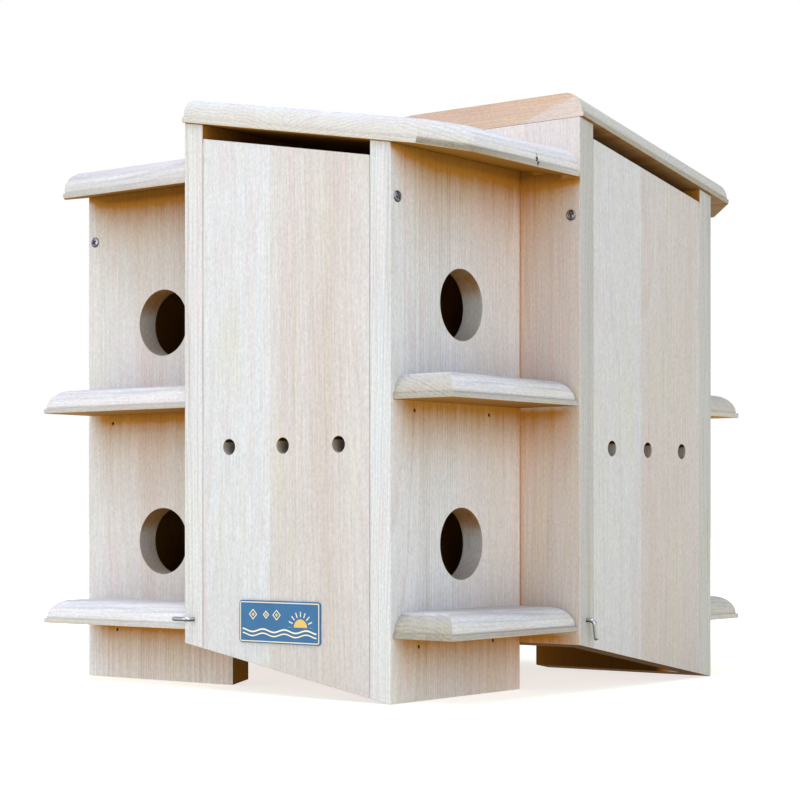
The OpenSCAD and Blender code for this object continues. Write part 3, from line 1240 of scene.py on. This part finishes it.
    def entrance_wall(self) -> None:
        """The wall with the two entry holes, and the nails' dimples over the floors."""
        s, wear = self.sizes, self.wear
        low, high = self.local_box("entrance_wall")
        height = s.wall_height
        names = (f"lower_entry_hole_{self.number}", f"upper_entry_hole_{self.number}")
        holes = self.openings(names, 1, s.entry_radius, s.entry_cell, 64)
        every = holes + [Hole(out, z, s.dimple_radius, s.dimple_cell, s.dimple_depth, 16)
                         for out, z in self.nail_places()]
        a = spread(-high[1], -low[1], s.side_step, *[h.lines(h.a) for h in every])
        b = spread(0.0, height, s.up_step, *[h.lines(h.b) for h in every])

        def lift(out: np.ndarray, z: np.ndarray, depth: np.ndarray) -> np.ndarray:
            """Sets the back's top and bottom lines up by the slope, for the bevelled ends."""
            edge = (z < 1e-6) | (z > height - 1e-6)
            return np.stack([s.entrance - depth, -out, z + s.slope * depth * edge], 1)

        def shelter(points: np.ndarray, normals: np.ndarray) -> np.ndarray:
            """The outer face gets amber and painted shade under roof and porches, the inner one all over.

            Args:
                points: points in the wing's axes.
                normals: the directions that the faces look in at them.

            Returns:
                The amber and painted shade at each point.
            """
            # Dark painted shade on the inner end and the bottom end.
            hidden = (normals[:, 1] > ALONG) & (points[:, 1] > high[1] - MM)
            hidden |= (normals[:, 2] < -ALONG) & (points[:, 2] < s.board)
            amount = np.where(hidden, 1.7, self.bore_amber(holes, points, normals))
            amount = np.where(normals[:, 0] > ALONG, self.shelter(points), amount)
            return np.where(normals[:, 0] < -ALONG, self.inside(points), amount)

        skin = drilled_board(a, b, every, s.board, lift)
        # Painted light: brighter beside the shaft and at the foot, where real shade falls.
        bright = wear.entrance_bright + wear.nook_bright * np.exp((skin.points[:, 1] - high[1]) / (32 * MM))
        bright = bright + wear.foot_bright * np.exp(-skin.points[:, 2] / (25 * MM))
        timber = Timber(Grain.UPRIGHT, wear.entrance_glue, 140 * MM, wear.entrance_tones, bright)
        weather = Weather(shelter, self.bleached_parts, damp=self.wall_damp(every, wear.entrance_edge_damp))
        node = f"entrance_wall_{self.number}"
        self.dress(f"entrance_board_{self.number}", skin, timber, weather, node, 1.0)
        head = turned_profile(np.array([0, 1.3, 1.45, 1.3, 0]) * MM,
                              np.array([-0.2, -0.2, 0.0, 0.12, 0.14]) * MM, 16)
        outwards = np.array([[0, 0, 1], [0, 1, 0], [-1, 0, 0]], float)
        heads = [head.moved(outwards, (s.entrance - 0.45 * MM, -out, z)) for out, z in self.nail_places()]
        make_piece(f"nail_heads_{self.number}", merged(heads).moved(self.turn, (0, 0, 0)), self.finishes.nail,
                   HOUSE)

    def plain_wall(self) -> None:
        """The undrilled wall that also closes the next wing's inner end."""
        s = self.sizes
        low, high = self.local_box("plain_wall")
        a = spread(-high[1], -low[1], s.side_step, s.entrance + np.array([0.0, 1.5, 4.0]) * MM)
        b = spread(0.0, s.wall_height, s.up_step)

        def lift(out: np.ndarray, z: np.ndarray, depth: np.ndarray) -> np.ndarray:
            """Stands the board at the plain side, raised by the slope at each face."""
            across = s.plain + depth
            return np.stack([across, -out, z + s.rise(across)], 1)

        before = Wing((self.number + 2) % len(WINGS) + 1, s, self.finishes)

        def shelter(points: np.ndarray, normals: np.ndarray) -> np.ndarray:
            """The outer face takes the amber and painted shade of the wing before, in that wing's own axes.

            There the painted shade is darkest in the corner with that wing's entrance wall, and beyond that
            wall it is deep inside the wing.

            Args:
                points: points in the wing's axes.
                normals: the directions that the faces look in at them.

            Returns:
                The amber and painted shade at each point.
            """
            place = (points @ self.turn.T) @ before.turn
            off = (place[:, 0] - s.entrance).clip(0)
            # Painted shade along the corner, with a darker line in the crease.
            corner = 0.14 * np.exp(-off / (12 * MM)) + 0.5 * np.exp(-off / (1.2 * MM)) + 0.17
            corner = np.where(before.drop(place) > -4 * MM, corner, 0.1)
            within = (place[:, 0] < s.entrance - s.board / 2) & (before.drop(place) > -8 * MM)
            kept = before.shelter(place)
            outer = np.where(within, before.inside_depth(place), kept + corner * (1 - kept).clip(0.2))
            # Dark painted shade on the bottom end.
            amount = np.where(normals[:, 2] < -ALONG, 1.75, 0.0)
            amount = np.where(normals[:, 0] < -ALONG, outer, amount)
            return np.where(normals[:, 0] > ALONG, self.inside(points), amount)

        skin = drilled_board(a, b, [], s.board, lift)
        # Painted light: the board lighter towards the shaft.
        nook = np.clip((s.reach + skin.points[:, 1]) / (s.reach - s.entrance), 0, 1)
        timber = Timber(Grain.UPRIGHT, 110 * MM, 150 * MM, (0.4, 0.5), 1.0 + self.wear.plain_bright * nook,
                        (40 * MM, 5 * MM))
        weather = Weather(shelter, self.bleached_edge, damp=self.wall_damp([], self.wear.plain_edge_damp))
        self.dress(f"plain_board_{self.number}", skin, timber, weather, f"plain_wall_{self.number}", 2.0)

    def roof(self) -> None:
        """The sloping roof board, with its cut corner and eased outer edges."""
        s, wear = self.sizes, self.wear
        low, high = self.local_box("roof")
        inner, end = -high[1], -low[1]
        slant = math.cos(s.fall)
        eave = (s.reach - s.eave_setback - s.entrance) / slant

        def outline(inset: float, z: float) -> np.ndarray:
            """The five corners, set in on the outer end, the cut and the eave.

            The high side leans so that it stands upright once the board is tilted.

            Args:
                inset: how far the corners are set in.
                z: their height in the board.

            Returns:
                The corners, counter-clockwise.
            """
            cut = s.corner_cut + inset * (math.sqrt(2) - 2)
            x0, x1, y1 = -(s.entrance - s.plain) / slant - z * s.slope, eave - inset, -(end - inset)
            return np.array([[x0, -inner], [x0, y1], [x1 - cut, y1], [x1, y1 + cut], [x1, -inner]])

        def damp(points: np.ndarray, normals: np.ndarray) -> np.ndarray:
            """Painted shade and green bounce light on the square lip under the round, on the eave side most,
            and under the board.

            Args:
                points: points in the wing's axes.
                normals: the directions that the faces look in at them.

            Returns:
                The painted shade and bounce light at each point.
            """
            lip = -self.drop(points) < (s.board - s.ease_radius) / slant + 0.1 * MM
            most = wear.roof_lip_damp * (0.5 + 0.5 * np.clip((-points[:, 1] - 60 * MM) / (90 * MM), 0, 1))
            amount = np.where(normals[:, 0] > 0.4, most, wear.roof_end_damp)
            amount = np.where(lip & (normals[:, 0] > -ALONG), amount, 0.0)
            return np.where(normals[:, 2] < -ALONG, wear.roof_under_damp, amount)

        skin = eased_board(outline, s.board - s.ease_radius, s.ease_ledge, s.ease_radius)
        c, q = math.cos(s.fall), math.sin(s.fall)
        tilt = np.array([[c, 0, q], [0, 1, 0], [-q, 0, c]])
        skin = skin.moved(tilt, (s.entrance, 0, s.wall_height))
        below = skin.points[:, 2] - s.wall_height - s.rise(s.plain)
        wedge = below / s.board + (end + skin.points[:, 1]) / (60 * MM) - 1
        knot = (210.5 * MM, -103.5 * MM, s.wall_height - 5 * MM, 4 * MM, 1.6 * MM, 5 * MM)
        # The roof board's painted light sets how light or dark it is.
        timber = Timber(Grain.OUTWARD, 60 * MM, 150 * MM, (0.45, 0.3), wear.roof_bright, (120 * MM, 120 * MM),
                        knot if wear.roof_knot else None, wedge)
        # Painted shade underneath, and sun on the top that is partly painted light; the high side looks
        # freshly cut.
        weather = Weather(on_faces((0, 0, -1), ALONG, wear.roof_under_shelter),
                          on_faces((0, 0, 1), 0.1, wear.roof_sun), on_faces((-1, 0, 0), 0.9, 1.0), damp)
        self.dress(f"roof_board_{self.number}", skin, timber, weather, f"roof_{self.number}", 3.0, arris=0.0)

    def floors(self) -> None:
        """The two sloping floors."""
        s = self.sizes
        timber = Timber(Grain.OUTWARD, 20 * MM, 90 * MM, (0.6, 0.5))
        # Painted shade all over, as the floors lie inside the wing.
        weather = Weather(lambda points, normals: np.full(len(points), 1.3))
        for node, seed in (("upper_floor", 4.0), ("lower_floor", 5.0)):
            low, high = self.local_box(node)
            a = spread(-high[1], -low[1], 40 * MM)
            b = spread(low[0], high[0], 40 * MM)
            base = low[2] - s.rise(high[0])

            def lift(out: np.ndarray, across: np.ndarray, depth: np.ndarray) -> np.ndarray:
                """Lays the board on its slope, with upright ends."""
                return np.stack([across, -out, base + s.rise(across) + depth / math.cos(s.fall)], 1)

            skin = drilled_board(a, b, [], s.board, lift)
            self.dress(f"{node}_board_{self.number}", skin, timber, weather, f"{node}_{self.number}", seed)

    def porches(self) -> None:
        """The two porches in the corner beside the entry holes."""
        s = self.sizes
        lip = s.board - s.ease_radius
        for node, wear, seed in (("upper_porch", self.wear.upper_porch, 6.0),
                                 ("lower_porch", self.wear.lower_porch, 7.0)):
            low, high = self.local_box(node)

            def outline(inset: float, z: float) -> np.ndarray:
                """The four corners, set in on the front and both ends."""
                return np.array([[low[0], low[1] + inset], [high[0] - inset, low[1] + inset],
                                 [high[0] - inset, high[1] - inset], [low[0], high[1] - inset]])

            def damp(points: np.ndarray, normals: np.ndarray) -> np.ndarray:
                """Painted shade and green bounce light on the square lip all round, and a little greying on
                the outer end up to its top.
                """
                end = np.where(normals[:, 1] < -0.5, wear.end_damp, 0.0)
                return np.where(points[:, 2] < low[2] + lip + 0.1 * MM, np.maximum(wear.lip_damp, end), end)

            skin = eased_board(outline, lip, s.ease_ledge, s.ease_radius).moved(np.eye(3), (0, 0, low[2]))
            # The porch's painted light, painted shade underneath, and sun on its top that is partly painted
            # light.
            timber = Timber(Grain.OUTWARD, 100 * MM, 110 * MM, (0.3, 0.3), wear.bright, (120 * MM, 120 * MM))
            weather = Weather(on_faces((0, 0, -1), ALONG, 1.3), on_faces((0, 0, 1), 0.4, 0.9), damp=damp)
            self.dress(f"{node}_board_{self.number}", skin, timber, weather, f"{node}_{self.number}", seed,
                       arris=0.0)

    def door(self) -> None:
        """The clean-out door with its three vent holes."""
        s = self.sizes
        low, high = self.local_box("door")
        top = high[2] - s.rise(low[0])
        low[0] -= s.door_spread
        high[0] += s.door_spread
        names = tuple(f"vent_hole_{self.number}_{i}" for i in (1, 2, 3))
        vents = self.openings(names, 0, s.vent_radius, s.vent_cell, 32)
        a = spread(low[0], high[0], s.side_step, *[h.lines(h.a) for h in vents])
        b = spread(0.0, top, s.up_step, vents[0].lines(vents[0].b))
        clear = 2.2 * s.rise(low[0])

        def lift(across: np.ndarray, z: np.ndarray, depth: np.ndarray) -> np.ndarray:
            """Skews the ends by the slope; the skew fades out before the level vent holes."""
            edge = np.minimum(np.minimum(z, top - z) / clear, 1.0)
            return np.stack([across, -(s.reach - depth), z + s.rise(across) * (1 - edge)], 1)

        def shelter(points: np.ndarray, normals: np.ndarray) -> np.ndarray:
            """The back and the bottom get amber and painted shade, and so do the vent holes in part.

            Args:
                points: points in the wing's axes.
                normals: the directions that the faces look in at them.

            Returns:
                The amber and painted shade at each point.
            """
            bore = self.bore_damp(vents, 1, 0.12)(points, np.zeros_like(normals))
            amount = np.where(normals[:, 2] < -ALONG, 1.75, bore)
            return np.where(normals[:, 1] > ALONG, 1.2, np.where(normals[:, 1] > -ALONG, amount, 0.0))

        skin = drilled_board(a, b, vents, s.board, lift)
        # Painted light, with painted shade that darkens the door towards its bottom.
        bright = self.wear.door_bright - 0.1 * np.exp(-skin.points[:, 2] / (80 * MM))
        timber = Timber(Grain.UPRIGHT, self.wear.door_glue, 110 * MM, self.wear.door_tones, bright)
        # Painted grey shade in the vent holes.
        weather = Weather(shelter, damp=self.bore_damp(vents, 1, 0.5))
        self.dress(f"door_board_{self.number}", skin, timber, weather, f"door_{self.number}", 8.0,
                   f"swing_door_{self.number}")


@dataclass
class PivotScrews:
    """The two pan-head screws with cross recesses, whose shanks a wing's door swings on."""

    wing: Wing
    head_radius: float = 4.2 * MM
    head_height: float = 1.5 * MM
    shank_radius: float = 2.0 * MM
    point: float = 4.0 * MM
    bite: float = 25.0 * MM
    recess: float = 1.3 * MM
    bar_reach: float = 2.3 * MM
    bar_half: float = 0.42 * MM

    def screw(self) -> Skin:
        """One screw, with its head's underside at the origin and its head along +z.

        The head's top is a dome, z = h (0.35 + 0.65 sqrt(1 - (r / R)^2.6)), less a cross whose
        depth is a smooth step of the distance to the nearer of two bars.

        Returns:
            The closed skin.
        """
        sizes = self.wing.sizes
        length = sizes.board + sizes.door_gap + self.bite
        sides, rows = 96, 30
        r = self.head_radius * np.sqrt(np.linspace(0, 1, rows + 1))[1:, None]
        t = full_turn(sides, math.pi / sides)
        x, y = r * np.cos(t), r * np.sin(t)
        dome = self.head_height * (0.35 + 0.65 * np.sqrt(np.clip(1 - (r / self.head_radius) ** 2.6, 0, 1)))
        bars = [np.maximum(np.abs(one) / self.bar_reach, np.abs(two) / self.bar_half)
                for one, two in ((x, y), (y, x))]
        z = dome - self.recess * smooth_step((1.25 - np.minimum(*bars)) / 0.5)
        top = np.stack([x, y, z], -1).reshape(-1, 3)
        below = np.array([[self.head_radius, 0.0], [self.shank_radius, 0.0],
                          [self.shank_radius, self.point - length], [0.3 * MM, -length]])
        under = np.stack([below[:, :1] * np.cos(t), below[:, :1] * np.sin(t),
                          np.repeat(below[:, 1:], sides, 1)], -1).reshape(-1, 3)
        loops = np.arange((rows + len(below)) * sides).reshape(-1, sides)
        middle = np.full(sides, loops.size)
        faces = [loop_walls(loops), np.stack([np.roll(loops[0], -1), loops[0], middle], -1), loops[-1:]]
        return Skin(np.concatenate([top, under, [[0, 0, self.head_height - self.recess]]]), faces)

    def build(self) -> None:
        """Builds both screws as one piece on the door's body."""
        wing = self.wing
        pivot = wing.local_point(joint_place(f"door_{wing.number}_swing"))
        screw, screws = self.screw(), []
        for sign, across, twist in ((1.0, wing.sizes.entrance, 0.5), (-1.0, wing.sizes.plain, 0.25)):
            face = np.array([[0, 0, sign], [0, 1, 0], [-sign, 0, 0]])
            screws.append(screw.moved(face @ spin_about_z(twist), (across, pivot[1], pivot[2])))
        make_piece(f"pan_head_screws_{wing.number}", merged(screws).moved(wing.turn, (0, 0, 0)),
                   wing.finishes.screw, f"swing_door_{wing.number}",
                   (f"pivot_screws_{wing.number}",), smooth_deg=50.0)


@dataclass
class WireHook:
    """The square wire hook that latches a wing's door."""

    wing: Wing
    wire: float = 1.75 * MM
    stand: float = 6.75 * MM
    arm: float = 16.0 * MM
    bend: float = 3.5 * MM
    bite: float = 20.0 * MM

    def build(self) -> None:
        """Builds the hook, straight out of the wood, round a quarter circle and along the arm."""
        wing = self.wing
        pivot = wing.local_point(joint_place(f"hook_{wing.number}_turn"))
        straight = self.arm - self.wire
        t = np.linspace(0, math.pi / 2, 13)[1:-1]
        shank = np.linspace(-self.bite, self.stand - self.bend, 9)
        reach = np.linspace(self.bend, straight, 8)
        cap = np.linspace(0, math.pi / 2, 7)[1:]
        out = np.concatenate([0 * shank, self.bend * (1 - np.cos(t)), reach,
                              straight + self.wire * np.sin(cap)])
        up = np.concatenate([shank, self.stand - self.bend + self.bend * np.sin(t), 0 * reach + self.stand,
                             0 * cap + self.stand])
        path = np.stack([out, 0 * out, up], 1)
        radius = np.full(len(path), self.wire)
        radius[-len(cap):] *= np.cos(cap).clip(0.04)
        face = np.array([[1, 0, 0], [0, 0, -1], [0, 1, 0]], float)
        turn = face @ spin_about_z(math.radians(wing.wear.hook_deg))
        skin = tube(path, radius).moved(turn, (pivot[0], -wing.sizes.reach, pivot[2]))
        make_piece(f"square_hook_{wing.number}", skin.moved(wing.turn, (0, 0, 0)), wing.finishes.zinc,
                   f"door_hook_{wing.number}", (f"hook_{wing.number}",))


@dataclass
class ShaftTop:
    """The cap board over the shaft, and the block under it that a pole's top meets."""

    sizes: HouseSizes
    finishes: Finishes

    def build(self) -> None:
        """Builds both boards, as plain boxes with worn edges."""
        wing = Wing(1, self.sizes, self.finishes)
        timber = Timber(Grain.OUTWARD, 0.0, 90 * MM, (0.4, 0.3))
        for node, seed in (("shaft_cap", 9.0), ("pole_seat", 10.0)):
            low, high = node_box(node)
            a = spread(-high[1], -low[1], 30 * MM)
            b = spread(low[0], high[0], 30 * MM)

            def lift(out: np.ndarray, across: np.ndarray, depth: np.ndarray) -> np.ndarray:
                """Lays the board level."""
                return np.stack([across, -out, low[2] + depth], 1)

            skin = drilled_board(a, b, [], high[2] - low[2], lift)
            # Amber and painted shade on the undersides.
            wing.dress(f"{node}_board", skin, timber, Weather(on_faces((0, 0, -1), ALONG, 0.9)), node, seed)


@dataclass
class NamePlate:
    """The small enamelled plate on the first door, with a plain sun over waves."""

    sizes: HouseSizes
    finishes: Finishes
    corner: float = 2.5 * MM
    dome: float = 0.25 * MM
    slope: float = 1.2 * MM

    def build(self) -> None:
        """Builds the plate as a grid whose rim is pulled to a rounded rectangle.

        A point's distance inside the rounded outline is the usual rounded-box distance.
        The face swells by a smooth step of that distance, and the same distance draws
        the border line. The sun is a ring and rays by angle, and the waves are sines.
        """
        low, high = node_box("name_plate")
        half, middle = (high - low)[[0, 2]] / 2, (low + high)[[0, 2]] / 2
        u, v = np.linspace(-1, 1, 401), np.linspace(-1, 1, 161)
        x, y = (grid * side for grid, side in zip(np.meshgrid(u, v, indexing="ij"), half))
        over_x = (np.abs(x) - (half[0] - self.corner)).clip(0)
        over_y = (np.abs(y) - (half[1] - self.corner)).clip(0)
        longest, length = np.maximum(over_x, over_y), np.hypot(over_x, over_y)
        pull = np.where(length > 0, longest / np.where(length > 0, length, 1), 1.0)
        x = np.sign(x) * (np.abs(x) - over_x + over_x * pull)
        y = np.sign(y) * (np.abs(y) - over_y + over_y * pull)
        rim = np.minimum(half[0] - np.abs(x), half[1] - np.abs(y))
        rim = np.where((over_x > 0) & (over_y > 0), self.corner - longest, rim)
        front = low[1] + self.dome * (1 - smooth_step(rim / self.slope))
        face = np.stack([middle[0] + x, front, middle[1] + y], -1).reshape(-1, 3)
        quads, loop = grid_faces(len(u), len(v))
        back = face[loop].copy()
        back[:, 1] = high[1]
        back_ids = len(face) + np.arange(len(loop))
        faces = [quads, loop_walls(np.stack([loop, back_ids])), back_ids[None, ::-1]]
        skin = Skin(np.concatenate([face, back]), faces)
        ink = self.ink(x / MM, y / MM, rim / MM).reshape(-1, 3)
        skin.values["ink"] = np.concatenate([ink, np.zeros((len(loop), 3))])
        make_piece("enamel_plate", skin, self.finishes.enamel, "swing_door_1",
                   ("name_plate",))

    @staticmethod
    def ink(x: np.ndarray, y: np.ndarray, rim: np.ndarray) -> np.ndarray:
        """Where cream and gold lie on the plate.

        Args:
            x: places across the plate, in millimetres from its middle.
            y: heights on the plate, in millimetres from its middle.
            rim: distances in from the edge, in millimetres.

        Returns:
            An array (..., 3) of cream, gold and 0, each 0 to 1.
        """

        def line(distance: np.ndarray, width: float) -> np.ndarray:
            """A stroke of this half width, soft over a quarter of a millimetre."""
            return np.clip((width - np.abs(distance)) / 0.25 + 0.5, 0, 1)

        cream = line(rim - 1.3, 0.35)
        wave_room = np.clip((rim - 3.4) / 0.3, 0, 1)
        for base, size in ((-6.5, 0.55), (-9.6, 0.45)):
            cream = np.maximum(cream, line(y - base - 1.1 * np.sin(x / 3.4), size) * wave_room)
        sun_x, sun_y = x - 21.0, y + 3.5
        radius, angle = np.hypot(sun_x, sun_y), np.arctan2(sun_y, sun_x)
        above = np.clip((sun_y - 0.2) / 0.3, 0, 1)
        gold = np.clip((6.5 - radius) / 0.25 + 0.5, 0, 1) * above
        rays = line(np.abs(np.mod(angle + math.pi / 16, math.pi / 8) - math.pi / 16) * radius, 0.4)
        cream = np.maximum(cream, rays * (radius > 8.2) * (radius < 12.2) * above)
        for cx, cy, size in ((-26.0, 5.5, 3.6), (-13.0, 5.5, 2.6), (-2.5, 5.5, 3.6)):
            diamond = np.abs(x - cx) + np.abs(y - cy)
            cream = np.maximum(cream, line(diamond - size, 0.45))
            gold = np.maximum(gold, np.clip((size * 0.42 - diamond) / 0.25 + 0.5, 0, 1))
        return np.stack([cream, gold, 0 * cream], -1)


# ---------------------------------------------------------------- studio


@dataclass
class Studio:
    """Floor, backdrop colour, soft lamps and the camera."""

    lens_mm: float = 93.27
    distance: float = 1.7504
    azimuth_deg: float = 37.69
    height: float = 0.139
    shift: float = 0.139

    def build(self) -> None:
        """Sets up the whole studio."""
        self.floor()
        self.world()
        self.lamps()
        self.camera()

    def floor(self) -> None:
        """A wide pale floor that keeps a soft shadow."""
        span = 8.0
        corners = np.array([[-span, -span, 0], [span, -span, 0], [span, span, 0], [-span, span, 0]])
        mesh = bpy.data.meshes.new("studio_floor")
        mesh.from_pydata((corners - [0, 0, 0.2 * MM]).tolist(), [], [(0, 1, 2, 3)])
        material = bpy.data.materials.new("studio_floor")
        add = emptied(material)
        matte = add("MATTE", linear_rgba("#c4c2aa"))
        dim = add("GLOW", linear_rgba("#e5e1d5"), 0.88)
        white = add("GLOW", (1, 1, 1, 1), add("RAMP", add("LENGTH", add("PLACE")), 0.35, 0.9, 0.72, 1.0))
        add("SURFACE", add("EITHER", add("TO_CAMERA"), add("BOTH", matte, dim), add("BOTH", matte, white)))
        mesh.materials.append(material)
        floor = bpy.data.objects.new("studio_floor", mesh)
        bpy.context.scene.collection.objects.link(floor)

    def world(self) -> None:
        """White to the camera, and a dimmer even light to the house."""
        world = bpy.data.worlds.new("studio_world")
        bpy.context.scene.world = world
        add = emptied(world)
        sky = add("LINE", add("PARTS", add("RAY"))["Z"], 0.0, 1.0, 0.45, 0.95)
        soft, white = add("SKY", linear_rgba("#e2ebfc"), sky), add("SKY", (1, 1, 1, 1), 1.0)
        add("WORLD", add("EITHER", add("TO_CAMERA"), soft, white))

    def lamps(self) -> None:
        """A key lamp front left, a top lamp and a weaker fill from the right."""
        for name, place, size, power, tint in (
                ("key_lamp", (-1.0, -2.5, 0.85), 1.4, 12.6, "#f8f8ff"),
                ("top_lamp", (-0.1, -1.0, 2.5), 1.6, 38.0, "#f1f3ff"),
                ("fill_lamp", (2.3, -1.5, 0.85), 1.4, 19.8, "#f6f6ff")):
            lamp = bpy.data.lights.new(name, "AREA")
            lamp.shape = "SQUARE"
            lamp.size = size
            lamp.energy = power
            lamp.color = linear_rgba(tint)[:3]
            holder = bpy.data.objects.new(name, lamp)
            holder.location = place
            aim = np.array([0, 0, 0.22]) - np.array(place)
            flat = math.hypot(aim[0], aim[1])
            holder.rotation_euler = (math.atan2(flat, -aim[2]), 0, math.atan2(aim[1], aim[0]) - math.pi / 2)
            bpy.context.scene.collection.objects.link(holder)

    def camera(self) -> None:
        """A level camera with a long lens, shifted up so that uprights stay parallel."""
        turn = math.radians(self.azimuth_deg)
        lens = bpy.data.cameras.new("camera")
        lens.lens = self.lens_mm
        lens.sensor_width = 36.0
        lens.shift_y = self.shift
        camera = bpy.data.objects.new("camera", lens)
        camera.location = (self.distance * math.sin(turn) + MM * math.cos(turn),
                           -self.distance * math.cos(turn) + MM * math.sin(turn), self.height)
        camera.rotation_euler = (math.pi / 2, 0, turn)
        bpy.context.scene.collection.objects.link(camera)
        bpy.context.scene.camera = camera
        bpy.context.scene.view_settings.view_transform = "Standard"


def main() -> None:
    """Builds the studio and the house, piece by piece."""
    logging.basicConfig(level=logging.INFO, format="%(name)s: %(message)s")
    Studio().build()
    sizes = HouseSizes.from_frame()
    finishes = Finishes()
    for number in WINGS:
        Wing(number, sizes, finishes, seed=11.3 * number).build()
    ShaftTop(sizes, finishes).build()
    NamePlate(sizes, finishes).build()


if __name__ == "__main__":
    main()
